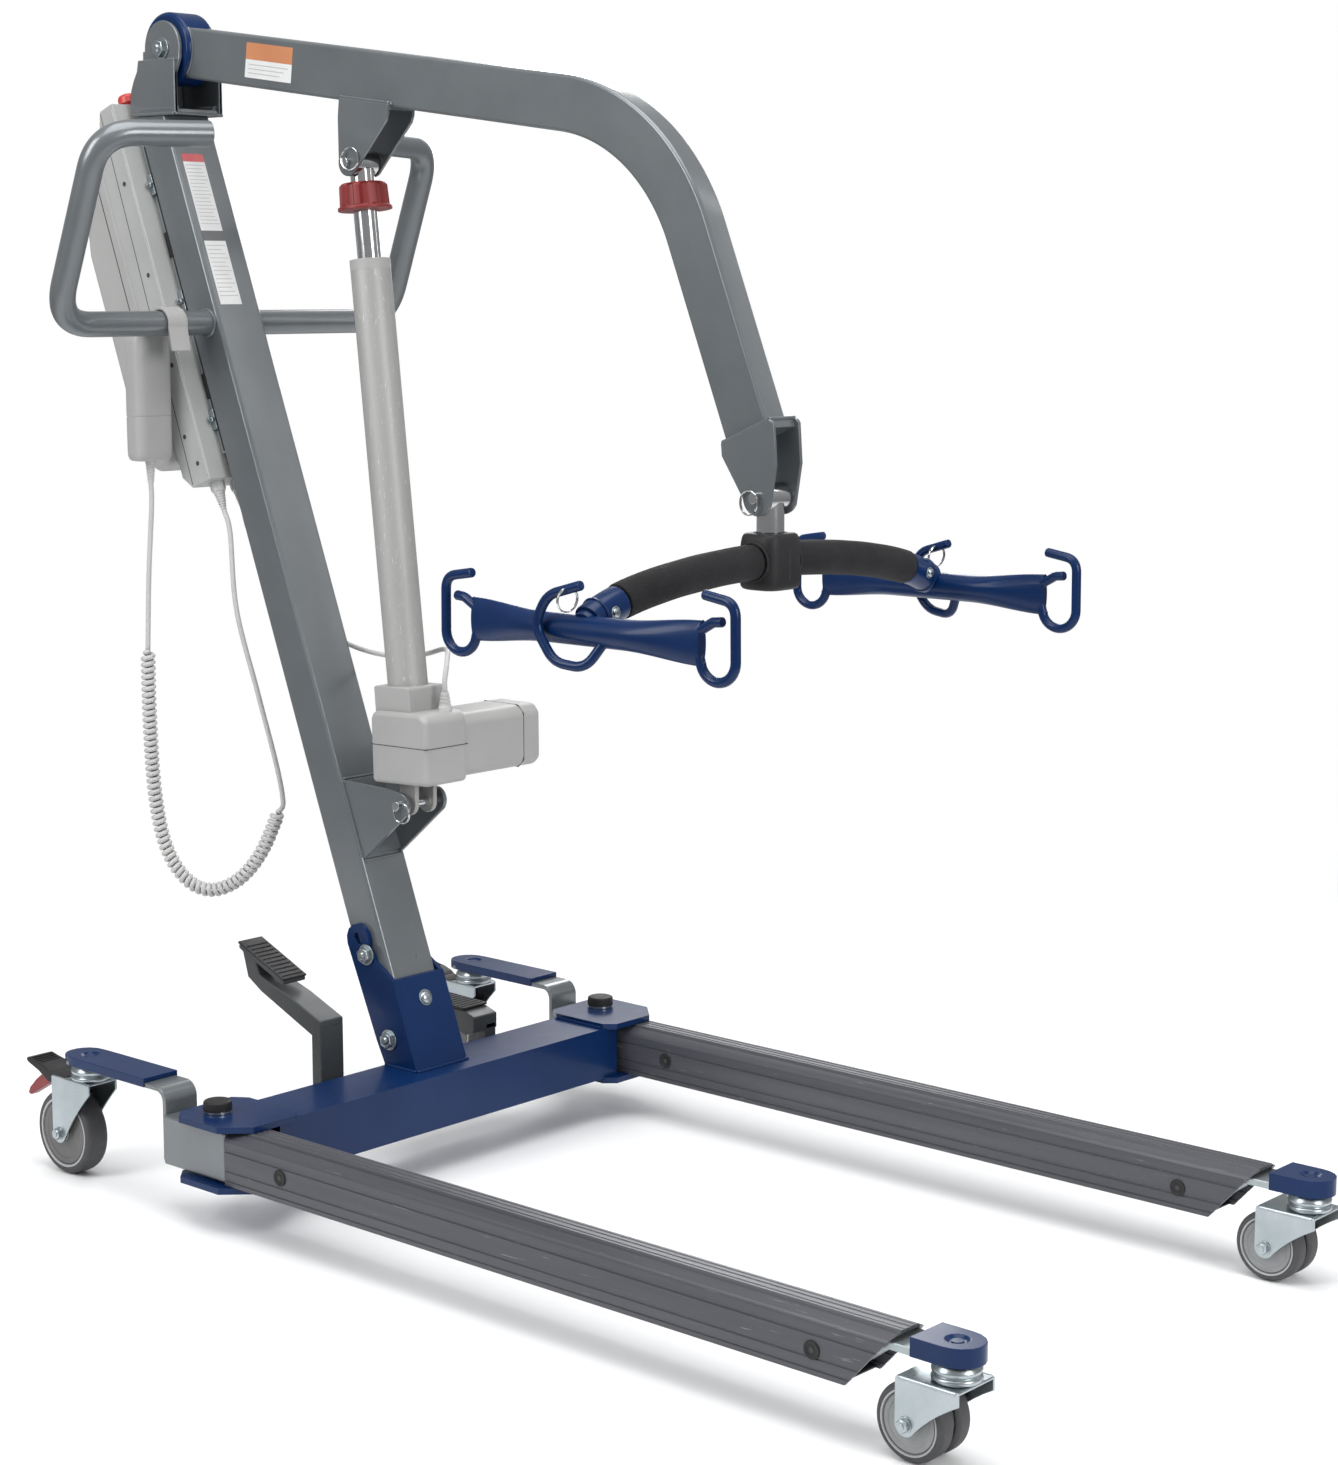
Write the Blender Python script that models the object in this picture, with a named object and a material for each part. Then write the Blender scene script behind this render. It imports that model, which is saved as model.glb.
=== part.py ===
"""Patient lift hoist: mast and boom on a spreading-leg base, driven by an electric actuator.

Metres, +Z up, legs point to -Y, lateral axis is X. Side -1 is the carer's right, side +1 the left.
The model is laid out from the leg pivot line (Y = 0) and shifted by FRAME_Y at the end, so that the
origin is on the floor under the middle of the bounding box.
"""
import bpy
import bmesh
from math import cos, sin, pi, atan2, radians, hypot
from mathutils import Vector

# ---- driving dimensions -------------------------------------------------------------------------
FRAME_Y = 0.2529          # shift of the leg pivot line in the finished frame
LEG_X = 0.311             # half spacing of the leg pivots
BEAM_Z0, BEAM_Z1 = 0.054, 0.118
BEAM_Y0, BEAM_Y1 = -0.062, 0.020
BEAM_HALF = 0.2745
MAST_W, MAST_D = 0.070, 0.052
MAST_TAN = 0.378          # rearward lean of the mast, horizontal over vertical
MAST_Y0, MAST_Z0 = 0.009, 0.143
MAST_TOP = 1.236
PIVOT_Y, PIVOT_Z = 0.403, 1.313       # boom hinge
LOW_Y, LOW_Z = 0.000, 0.431           # actuator foot pin
UP_Y, UP_Z = 0.081, 1.169             # actuator head pin
TIP_Y, TIP_Z = -0.533, 0.815          # hanger pin at the boom's tip
BOOM_H, BOOM_W, BOOM_R = 0.060, 0.032, 0.225
FRONT_Y, REAR_Y = -1.008, 0.229       # caster swivel axes
FRONT_R, REAR_R = 0.0375, 0.050       # wheel radii
GRIP_R, TUBE_R = 0.0185, 0.0150
GAP = 0.0003

for old in list(bpy.data.objects):
    bpy.data.objects.remove(old, do_unlink=True)


# ---- materials ----------------------------------------------------------------------------------
def material(name, colour, rough, metal=0.0):
    mat = bpy.data.materials.new(name)
    mat.use_nodes = True
    shader = mat.node_tree.nodes["Principled BSDF"]
    shader.inputs["Base Color"].default_value = (*colour, 1.0)
    shader.inputs["Roughness"].default_value = rough
    shader.inputs["Metallic"].default_value = metal
    return mat


GREY = material("grey_coat", (0.13, 0.15, 0.16), 0.35, 0.3)
NAVY = material("navy_coat", (0.012, 0.03, 0.13), 0.3, 0.2)
LEGC = material("leg_plastic", (0.11, 0.105, 0.115), 0.45)
ZINC = material("zinc", (0.62, 0.64, 0.66), 0.3, 1.0)
CHROME = material("chrome", (0.8, 0.8, 0.8), 0.12, 1.0)
CASE = material("light_case", (0.55, 0.55, 0.53), 0.5)
ALU = material("anodised_tube", (0.6, 0.6, 0.58), 0.4, 0.5)
BLACK = material("black_plastic", (0.02, 0.02, 0.022), 0.6)
TYRE = material("grey_tyre", (0.07, 0.07, 0.075), 0.7)
RED = material("red_plastic", (0.35, 0.03, 0.03), 0.45)
CORD = material("cord_grey", (0.4, 0.4, 0.4), 0.55)
PEDAL = material("pedal_grey", (0.07, 0.075, 0.08), 0.5)


# ---- solid builders: each returns a mesh in world layout ----------------------------------------
def mesh_from(verts, faces):
    bm = bmesh.new()
    made = [bm.verts.new(v) for v in verts]
    for face in faces:
        bm.faces.new([made[i] for i in face])
    bmesh.ops.recalc_face_normals(bm, faces=bm.faces)
    mesh = bpy.data.meshes.new("solid")
    bm.to_mesh(mesh)
    bm.free()
    return mesh


def prism(axis, outline, a, b):
    """Extrude an outline along an axis: 'x' outlines are (y, z), 'y' are (x, z), 'z' are (x, y)."""
    def put(p, t):
        if axis == "x":
            return (t, p[0], p[1])
        if axis == "y":
            return (p[0], t, p[1])
        return (p[0], p[1], t)
    n = len(outline)
    verts = [put(p, a) for p in outline] + [put(p, b) for p in outline]
    faces = [tuple(range(n)), tuple(range(n, 2 * n))]
    faces += [(i, (i + 1) % n, n + (i + 1) % n, n + i) for i in range(n)]
    return mesh_from(verts, faces)


def box(x0, x1, y0, y1, z0, z1):
    return prism("z", [(x0, y0), (x1, y0), (x1, y1), (x0, y1)], z0, z1)


def arc(cy, cz, r, a0, a1, n):
    return [(cy + r * cos(radians(a0 + (a1 - a0) * i / n)),
             cz + r * sin(radians(a0 + (a1 - a0) * i / n))) for i in range(n + 1)]


def ring_frame(direction):
    d = Vector(direction).normalized()
    side = d.cross(Vector((1, 0, 0)) if abs(d.x) < 0.9 else Vector((0, 1, 0))).normalized()
    return d, side, d.cross(side)


def stack(base, direction, steps, seg=16):
    """Turned solid: steps are (height along the direction, radius)."""
    d, side, up = ring_frame(direction)
    base = Vector(base)
    verts = []
    for h, r in steps:
        for i in range(seg):
            t = 2 * pi * i / seg
            verts.append(base + d * h + (side * cos(t) + up * sin(t)) * r)
    n = len(steps)
    faces = [tuple(range(seg)), tuple(range((n - 1) * seg, n * seg))]
    for k in range(n - 1):
        for i in range(seg):
            j = (i + 1) % seg
            faces.append((k * seg + i, k * seg + j, (k + 1) * seg + j, (k + 1) * seg + i))
    return mesh_from(verts, faces)


def rod(p0, p1, r, seg=16):
    d = Vector(p1) - Vector(p0)
    return stack(p0, d, [(0, r), (d.length, r)], seg)


def fillet(points, radius, seg=6):
    """Round the corners of a 3-D polyline."""
    pts = [Vector(p) for p in points]
    out = [pts[0]]
    for i in range(1, len(pts) - 1):
        a = (pts[i - 1] - pts[i]).normalized()
        b = (pts[i + 1] - pts[i]).normalized()
        half = a.angle(b) / 2
        reach = min(radius / max(0.05, abs(sin(half) / cos(half))),
                    0.48 * (pts[i - 1] - pts[i]).length, 0.48 * (pts[i + 1] - pts[i]).length)
        p0, p2 = pts[i] + a * reach, pts[i] + b * reach
        for k in range(seg + 1):
            t = k / seg
            out.append(p0 * (1 - t) ** 2 + pts[i] * 2 * t * (1 - t) + p2 * t * t)
    out.append(pts[-1])
    return out


def sweep(points, radius, seg=10, flat=None):
    """Tube along points with flat caps. flat gives per-point (width, height) factors."""
    pts = [Vector(p) for p in points]
    n = len(pts)
    tangents = []
    for i in range(n):
        tangents.append((pts[min(i + 1, n - 1)] - pts[max(i - 1, 0)]).normalized())
    side = ring_frame(tangents[0])[1]
    verts = []
    for i in range(n):
        d = tangents[i]
        side = (side - d * side.dot(d)).normalized()
        up = d.cross(side)
        kw, kh = flat[i] if flat else (1, 1)
        for k in range(seg):
            t = 2 * pi * (k + 0.5) / seg
            verts.append(pts[i] + side * (cos(t) * radius * kw) + up * (sin(t) * radius * kh))
    faces = [tuple(range(seg)), tuple(range((n - 1) * seg, n * seg))]
    for i in range(n - 1):
        for k in range(seg):
            j = (k + 1) % seg
            faces.append((i * seg + k, i * seg + j, (i + 1) * seg + j, (i + 1) * seg + k))
    return mesh_from(verts, faces)


def boolean(mesh, other, operation):
    a = bpy.data.objects.new("work_a", mesh)
    b = bpy.data.objects.new("work_b", other)
    for ob in (a, b):
        bpy.context.scene.collection.objects.link(ob)
    mod = a.modifiers.new("Boolean", "BOOLEAN")
    mod.operation = operation
    mod.object = b
    mod.solver = "EXACT"
    bpy.context.view_layer.update()
    graph = bpy.context.evaluated_depsgraph_get()
    result = bpy.data.meshes.new_from_object(a.evaluated_get(graph))
    for ob in (a, b):
        bpy.data.objects.remove(ob, do_unlink=True)
    return result


def solid(name, mat, parts, cuts=(), origin=(0, 0, 0), smooth=30):
    """One named object: the union of parts minus the cuts, with its origin on its joint axis."""
    mesh = parts[0]
    for extra in parts[1:]:
        mesh = boolean(mesh, extra, "UNION")
    for cut in cuts:
        mesh = boolean(mesh, cut, "DIFFERENCE")
    bm = bmesh.new()
    bm.from_mesh(mesh)
    bmesh.ops.remove_doubles(bm, verts=bm.verts, dist=0.000002)
    bmesh.ops.translate(bm, verts=bm.verts, vec=-Vector(origin))
    bm.to_mesh(mesh)
    bm.free()
    mesh.materials.clear()
    mesh.materials.append(mat)
    mesh.shade_smooth()
    mesh.set_sharp_from_angle(angle=radians(smooth))
    ob = bpy.data.objects.new(name, mesh)
    ob.location = Vector(origin) + Vector((0, FRAME_Y, 0))
    bpy.context.scene.collection.objects.link(ob)
    return ob


def mast_y(z):
    """Y of the mast's centre line at a height."""
    return MAST_Y0 + (z - MAST_Z0) * MAST_TAN


MAST_HALF_Y = MAST_D / 2 * hypot(1, MAST_TAN)
LEAN = Vector((0, MAST_TAN, 1)).normalized()
BACK = Vector((0, 1, -MAST_TAN)).normalized()


def mast_pt(x, z, behind):
    """Point at a distance behind the mast's centre plane, square to the mast."""
    return Vector((x, mast_y(z), z)) + BACK * behind


# ---- base frame ---------------------------------------------------------------------------------
def build_base():
    parts = [box(-BEAM_HALF, BEAM_HALF, BEAM_Y0, BEAM_Y1, BEAM_Z0, BEAM_Z1)]
    cuts = [box(-0.4, 0.4, BEAM_Y0 + 0.005, BEAM_Y1 - 0.005, BEAM_Z0 + 0.005, BEAM_Z1 - 0.005)]
    parts_after = []
    for s in (-1, 1):
        plate = [(0.250, -0.0605), (0.262, -0.074), (0.322, -0.074), (0.350, -0.045),
                 (0.350, 0.020), (0.334, 0.036), (0.262, 0.036), (0.250, 0.019)]
        plate = [(s * x, y) for x, y in plate]
        parts_after.append(prism("z", plate, BEAM_Z1 - 0.001, BEAM_Z1 + 0.006))
        parts_after.append(prism("z", plate, BEAM_Z0 - 0.006, BEAM_Z0 + 0.001))
    ear_x = MAST_W / 2 + 0.0005
    f = -MAST_HALF_Y - 0.0005
    front = [(mast_y(0.117) + f, 0.117), (mast_y(0.117) + f - 0.0055, 0.117),
             (mast_y(0.222) + f - 0.0055, 0.222), (mast_y(0.222) + f, 0.222)]
    parts_after.append(prism("x", front, -ear_x - 0.001, ear_x + 0.001))
    for s in (-1, 1):
        top = arc(0.0645, 0.2625, 0.0195, -20, 200, 8)
        ear = [(mast_y(0.117) + f - 0.0055, 0.117), (0.0195, 0.117), (0.034, 0.145)] + top
        ear += [(0.035, 0.240), (mast_y(0.222) + f - 0.0055, 0.222)]
        a, b = sorted((s * ear_x, s * (ear_x + 0.0055)))
        parts_after.append(prism("x", ear, a, b))
    mesh = boolean(parts[0], cuts[0], "DIFFERENCE")
    holes = [rod((s * LEG_X, 0, 0.04), (s * LEG_X, 0, 0.13), 0.0093, 16) for s in (-1, 1)]
    holes.append(rod((-0.06, mast_y(0.247) + 0.001, 0.247), (0.06, mast_y(0.247) + 0.001, 0.247), 0.0053, 12))
    holes.append(rod((-0.06, mast_y(0.150), 0.150), (0.06, mast_y(0.150), 0.150), 0.0053, 12))
    holes.append(rod((0, -0.03, 0.088), (0, 0.06, 0.088), 0.0083, 14))
    slot = arc(0.0665, 0.267, 0.0042, -20, 200, 5) + arc(0.062, 0.261, 0.0042, 160, 340, 5)
    holes.append(prism("x", slot, -0.06, 0.06))
    solid("base_frame", NAVY, [mesh] + parts_after, holes)


# ---- mast with head strap and actuator foot bracket ---------------------------------------------
def build_mast():
    bottom, top = 0.1195, MAST_TOP
    half = MAST_HALF_Y
    outer = [(mast_y(bottom) - half, bottom), (mast_y(bottom) + half, bottom),
             (mast_y(top) + half, top), (mast_y(top) - half, top)]
    w = 0.0035
    inner = [(mast_y(bottom - 0.01) - half + w, bottom - 0.01), (mast_y(bottom - 0.01) + half - w, bottom - 0.01),
             (mast_y(top - 0.004) + half - w, top - 0.004), (mast_y(top - 0.004) - half + w, top - 0.004)]
    tube = boolean(prism("x", outer, -MAST_W / 2, MAST_W / 2),
                   prism("x", inner, -MAST_W / 2 + w, MAST_W / 2 - w), "DIFFERENCE")
    parts = []
    web = [(0.372, 1.2345), (0.4565, 1.2345), (0.4565, 1.241), (0.374, 1.241)]
    parts.append(prism("x", web, -0.037, 0.037))
    parts.append(box(-0.0320, 0.0320, 0.4405, 0.4440, 1.2400, 1.2830))
    for s in (-1, 1):
        low = [(0.370, 1.2345), (0.452, 1.2345), (0.457, 1.243), (0.455, 1.265), (0.442, 1.288), (0.370, 1.288)]
        a, b = sorted((s * 0.0315, s * 0.037))
        parts.append(prism("x", low, a, b))
        jog = [(s * 0.0315, 1.284), (s * 0.037, 1.284), (s * 0.0285, 1.299), (s * 0.0235, 1.299)]
        parts.append(prism("y", jog, 0.3705, 0.4385))
        up = [(0.371, 1.2975), (0.436, 1.2975)] + arc(PIVOT_Y, PIVOT_Z, 0.033, 0, 180, 12)
        a, b = sorted((s * 0.0235, s * 0.0285))
        parts.append(prism("x", up, a, b))
        foot = [(mast_y(0.450) - half + 0.0012, 0.450), (LOW_Y + 0.004, 0.4475)]
        foot += arc(LOW_Y, LOW_Z, 0.0155, 100, 235, 6)
        foot += [(mast_y(0.358) - half + 0.0012, 0.358)]
        a, b = sorted((s * 0.0265, s * 0.0318))
        parts.append(prism("x", foot, a, b))
    back = [(mast_y(0.450) - half + 0.0012, 0.450), (mast_y(0.450) - half - 0.005, 0.450),
            (mast_y(0.365) - half - 0.005, 0.365), (mast_y(0.365) - half + 0.0012, 0.365)]
    parts.append(prism("x", back, -0.027, 0.027))
    cuts = [rod((-0.05, PIVOT_Y, PIVOT_Z), (0.05, PIVOT_Y, PIVOT_Z), 0.0064, 16),
            rod((-0.05, LOW_Y, LOW_Z), (0.05, LOW_Y, LOW_Z), 0.0063, 14),
            rod((-0.06, mast_y(0.247) + 0.001, 0.247), (0.06, mast_y(0.247) + 0.001, 0.247), 0.0053, 12),
            rod((-0.06, mast_y(0.150), 0.150), (0.06, mast_y(0.150), 0.150), 0.0053, 12)]
    solid("mast", GREY, [tube] + parts, cuts)


def build_handles():
    for s, name in ((-1, "push_handle_right"), (1, "push_handle_left")):
        path = [(s * (MAST_W / 2 + GAP), 0.322, 0.985), (s * 0.258, 0.322, 0.985),
                (s * 0.254, 0.236, 1.199), (s * 0.127, 0.196, 1.201)]
        solid(name, GREY, [sweep(fillet(path, 0.050, 5), TUBE_R, 10)])


def bolt(name, y, z, x_face, shank, head, mat=ZINC, origin=None):
    """Through bolt along X: hexagon head on one face, nut on the other."""
    x = x_face + GAP
    steps = [(0, head), (0.0075, head), (0.0076, head * 1.5), (0.0095, head * 1.5), (0.00951, shank)]
    steps += [(2 * x + 0.0095 - 0.00001, shank), (2 * x + 0.0095, head * 1.5), (2 * x + 0.0115, head * 1.5)]
    steps += [(2 * x + 0.0116, head), (2 * x + 0.018, head)]
    return solid(name, mat, [stack((-x - 0.0095, y, z), (1, 0, 0), steps, 8)], origin=origin or (0, y, z))


# ---- legs ---------------------------------------------------------------------------------------
def build_legs():
    for s, side in ((-1, "right"), (1, "left")):
        x = s * LEG_X
        piv = (x, 0, 0)
        stub = box(x - 0.0272, x + 0.0272, -0.0430, 0.0630, 0.0578, 0.1140)
        core = [(-0.0425, 0.0625), (-0.896, 0.0625), (-0.945, 0.0995), (-1.030, 0.0995),
                (-1.030, 0.1075), (-0.0425, 0.1075)]
        parts = [stub, prism("x", core, x - 0.0225, x + 0.0225)]
        lug = box(*sorted((x - s * 0.0265, x - s * 0.044)), -0.041, -0.021, 0.080, 0.086)
        parts.append(lug)
        holes = [box(x - 0.0195, x + 0.0195, -0.884, 0.0700, 0.0655, 0.1045)]
        holes.append(rod((x, 0, 0.04), (x, 0, 0.13), 0.0093, 14))
        holes.append(rod((x, FRONT_Y, 0.09), (x, FRONT_Y, 0.12), 0.0063, 12))
        for t in (-1, 1):
            corner = [(x + t * 0.0240, -1.0020), (x + t * 0.0113, -1.0305), (x + t * 0.0240, -1.0320)]
            holes.append(prism("z", corner, 0.09, 0.12))
        solid("leg_" + side, GREY, parts, holes, origin=piv)
        # ribbed cover: hollow extrusion with lengthwise grooves and a slanted front end
        w, z0, z1 = 0.0280, 0.0560, 0.1165
        g = 0.0012
        outline = [(-w, z0), (-w, 0.072), (-w + g, 0.073), (-w, 0.074), (-w, 0.094), (-w + g, 0.095),
                   (-w, 0.096), (-w, 0.1085), (-w + 0.006, 0.1140), (-0.013, z1), (-0.012, z1 - g),
                   (-0.011, z1), (0.011, z1), (0.012, z1 - g), (0.013, z1), (w - 0.006, 0.1140),
                   (w, 0.1085), (w, 0.096), (w - g, 0.095), (w, 0.094), (w, 0.074), (w - g, 0.073),
                   (w, 0.072), (w, z0)]
        outline = [(x + a, b) for a, b in outline]
        shell = prism("y", outline, -0.956, -0.0434)
        hollow = box(x - 0.0231, x + 0.0231, -1.0, 0.0, 0.0615, 0.1082)
        slant = prism("x", [(-0.899, 0.05), (-0.962, 0.1200), (-0.975, 0.1200), (-0.975, 0.05)],
                      x - 0.05, x + 0.05)
        solid("leg_cover_" + side, LEGC, [shell], [hollow, slant], origin=piv)
        # pivot bolt: black cap on top, shank through the leg, zinc nut below
        zt, zb = BEAM_Z1 + 0.006 + GAP, BEAM_Z0 - 0.006 - GAP
        steps = [(0, 0.0075), (0.0060, 0.0075), (0.0061, 0.0115), (0.0155, 0.0115), (0.01551, 0.009)]
        base_z = zb - 0.0155
        steps += [(zt - base_z - 0.00001, 0.009), (zt - base_z, 0.0165), (zt - base_z + 0.0140, 0.0160)]
        solid("leg_pivot_bolt_" + side, ZINC, [stack((x, 0, base_z), (0, 0, 1), steps, 14)], origin=piv)
        # rear caster arm: flat bar bolted to the stub's end, bent to the rear
        r = 0.0226
        bar = [(0.0634, 0.0600), (0.0694, 0.0600), (0.0694, 0.1260)]
        bar += [(0.0794 + 0.010 * cos(radians(t)), 0.1260 + 0.0115 * sin(radians(t))) for t in (150, 120, 90)]
        bar += [(0.246, 0.1375), (0.246, 0.1430), (0.0794, 0.1430)]
        bar += [(0.0794 + 0.0160 * cos(radians(t)), 0.1260 + 0.017 * sin(radians(t))) for t in (120, 150, 180)]
        bolt_r = stack((x, 0.0570, 0.086), (0, 1, 0), [(0, 0.004), (0.0090, 0.004)], 8)
        head = stack((x, 0.0690, 0.086), (0, 1, 0), [(0, 0.009), (0.003, 0.008), (0.0055, 0.005)], 12)
        arm_hole = rod((x, REAR_Y, 0.13), (x, REAR_Y, 0.15), 0.0063, 12)
        solid("rear_caster_arm_" + side, GREY,
              [prism("x", bar, x - r, x + r), head, bolt_r], [arm_hole], origin=piv)
        cap = [(x + a, b) for a, b in [(-0.024, 0.100), (0.024, 0.100), (0.024, 0.229)]]
        cap += [(x + 0.024 * cos(radians(t)), 0.236 + 0.026 * sin(radians(t))) for t in range(20, 180, 20)]
        cap += [(x - 0.024, 0.229)]
        dish = stack((x, REAR_Y, 0.1462), (0, 0, 1), [(0, 0.008), (0.0025, 0.0115)], 14)
        shell = prism("z", cap, 0.1380, 0.1485)
        hollow = box(x - 0.0230, x + 0.0230, 0.0, 0.2464, 0.12, 0.1434)
        solid("rear_cap_" + side, NAVY, [shell], [hollow, dish], origin=piv)
        cap = [(x + a, b) for a, b in [(0.0245, -0.9735), (-0.0245, -0.9735), (-0.0245, FRONT_Y)]]
        cap += [(x + 0.0245 * cos(radians(t)), FRONT_Y - 0.0275 * sin(radians(t))) for t in range(160, 0, -20)]
        cap += [(x + 0.0245, FRONT_Y)]
        shell = prism("z", cap, 0.1000, 0.1185)
        plan = [(-0.0230, -0.900), (-0.0230, -1.0050), (-0.0122, -1.0305), (0.0122, -1.0305), (0.0230, -1.0050), (0.0230, -0.900)]
        hollow = prism("z", [(x + a, b) for a, b in plan], 0.09, 0.1079)
        dish = stack((x, FRONT_Y, 0.1160), (0, 0, 1), [(0, 0.008), (0.003, 0.0125)], 14)
        solid("front_cap_" + side, NAVY, [shell], [hollow, dish], origin=piv)


# ---- casters ------------------------------------------------------------------------------------
def build_caster(tag, x, y, top, wheel_r, plate_x, trail, width, wheels):
    """Swivel fork with its axle, and its wheel or wheels."""
    ay, az = y + trail, wheel_r
    head_z = top - 0.0185
    head = stack((x, y, head_z), (0, 0, 1), [(0, 0.019), (0.003, 0.0235), (0.0125, 0.0235), (0.0185, 0.020)], 12)
    reach = 0.0234 if width > 0.03 else trail + 0.0095
    crown = box(x - plate_x - 0.0010, x + plate_x + 0.0010, y - 0.0204, y + reach, head_z - 0.003, head_z + 0.001)
    parts = [head, crown]
    for s in (-1, 1):
        a, b = sorted((x + s * plate_x, x + s * (plate_x + 0.0025)))
        leg = [(y - 0.021, head_z + 0.0005), (y - 0.021, head_z - 0.010)]
        leg += [((y - 0.021 + ay) / 2 + 0.002, (head_z + az) / 2 - 0.001)]
        leg += arc(ay, az, 0.0115, 205, 355, 4) + [(ay + 0.0115, head_z - 0.003), (ay + 0.0100, head_z + 0.0005)]
        parts.append(prism("x", leg, a, b))
    x0 = plate_x + 0.0025 + 0.006
    steps = [(0, 0.0068), (0.0068, 0.0068), (0.0072, 0.0045), (2 * x0 - 0.0072, 0.0045),
             (2 * x0 - 0.0068, 0.0068), (2 * x0, 0.0068)]
    parts.append(stack((x - x0, ay, az), (1, 0, 0), steps, 8))
    pin = stack((x, y, top - 0.001), (0, 0, 1), [(0, 0.0058), (0.0062, 0.0058)], 8)
    parts.append(pin)
    solid("caster_fork_" + tag, ZINC, parts, origin=(x, y, 0))
    for name, off in wheels:
        h = width / 2
        half = [(0.0020, 0.40), (0.0, 0.78), (0.0030, 0.965)]
        steps = [(a, b * wheel_r) for a, b in half] + [(h, wheel_r)]
        steps += [(width - a, b * wheel_r) for a, b in half[::-1]]
        body = stack((x + off - h, ay, az), (1, 0, 0), steps, 18)
        bore = rod((x + off - 0.05, ay, az), (x + off + 0.05, ay, az), 0.0049, 8)
        solid(name, TYRE, [body], [bore], origin=(x + off, ay, az))


def build_casters():
    for s, side in ((-1, "right"), (1, "left")):
        x = s * LEG_X
        build_caster("rear_" + side, x, REAR_Y, 0.1370, REAR_R, 0.0180, 0.038, 0.032,
                     [("rear_wheel_" + side, 0.0)])
        build_caster("front_" + side, x, FRONT_Y, 0.0990, FRONT_R, 0.0255, 0.036, 0.0225,
                     [("front_wheel_outer_" + side, s * 0.0127), ("front_wheel_inner_" + side, -s * 0.0127)])
        # brake lever: tread over the rear of the fork and a release tab below it
        y0 = REAR_Y
        lever = [(y0 + 0.026, 0.1120), (y0 + 0.060, 0.1075), (y0 + 0.078, 0.1170), (y0 + 0.098, 0.1240),
                 (y0 + 0.102, 0.1290), (y0 + 0.098, 0.1315), (y0 + 0.072, 0.1270), (y0 + 0.054, 0.1175), (y0 + 0.026, 0.1200)]
        tread = prism("x", lever, x - 0.0175, x + 0.0175)
        tab = [(y0 + 0.060, 0.1080), (y0 + 0.092, 0.0900), (y0 + 0.112, 0.0790), (y0 + 0.117, 0.0820),
               (y0 + 0.113, 0.0890), (y0 + 0.100, 0.1010), (y0 + 0.078, 0.1180)]
        solid("brake_pedal_" + side, BLACK, [tread, prism("x", tab, x - 0.0060, x + 0.0060)],
              origin=(x, y0 + 0.030, 0.116))


# ---- foot pedal and leg linkage -----------------------------------------------------------------
def build_pedals():
    bar = box(-0.118, 0.150, 0.044, 0.060, 0.080, 0.100)
    left = box(-0.120, -0.084, 0.044, 0.061, 0.080, 0.176)
    ramp = [(0.044, 0.182), (0.044, 0.172), (0.061, 0.162), (0.150, 0.200), (0.174, 0.214), (0.182, 0.2435),
            (0.190, 0.247), (0.190, 0.256), (0.108, 0.2215), (0.110, 0.213), (0.158, 0.2335),
            (0.152, 0.219), (0.100, 0.203)]
    pad_l = prism("x", ramp, -0.120, -0.084)
    right = box(0.150 - 0.001, 0.168, 0.044, 0.061, 0.080, 0.128)
    ramp_r = [(0.044, 0.118), (0.061, 0.112), (0.100, 0.124), (0.172, 0.136), (0.172, 0.150),
              (0.062, 0.147), (0.044, 0.138)]
    pad_r = prism("x", ramp_r, 0.129, 0.171)
    shaft = rod((0, -0.0450, 0.088), (0, 0.0460, 0.088), 0.0080, 14)
    crank = box(-0.0060, 0.0060, -0.034, -0.028, 0.064, 0.1115)
    collar = rod((0, BEAM_Y1 + GAP, 0.088), (0, 0.0460, 0.088), 0.0125, 14)
    end = rod((0, 0.0080, 0.088), (0, BEAM_Y1 - 0.005 - GAP, 0.088), 0.0120, 12)
    solid("spreader_pedal", PEDAL, [bar, left, pad_l, right, pad_r, shaft, crank, collar, end],
          origin=(0, 0, 0.088))
    # one tie rod above the shaft and one below it, so that the legs open together
    for s, side in ((-1, "right"), (1, "left")):
        z = 0.106 if s < 0 else 0.070
        x1 = s * (LEG_X - 0.0475)
        body = rod((s * 0.014, -0.031, z), (x1 - s * 0.012, -0.031, z), 0.0038, 8)
        eye0 = box(*sorted((s * 0.0095, s * 0.020)), -0.0355, -0.0265, z - 0.0045, z + 0.0045)
        eye1 = box(*sorted((x1 - s * 0.016, x1 + s * 0.0015)), -0.0365, -0.0255, z - 0.0050, z + 0.0050)
        solid("tie_rod_" + side, ZINC, [body, eye0, eye1])


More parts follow.
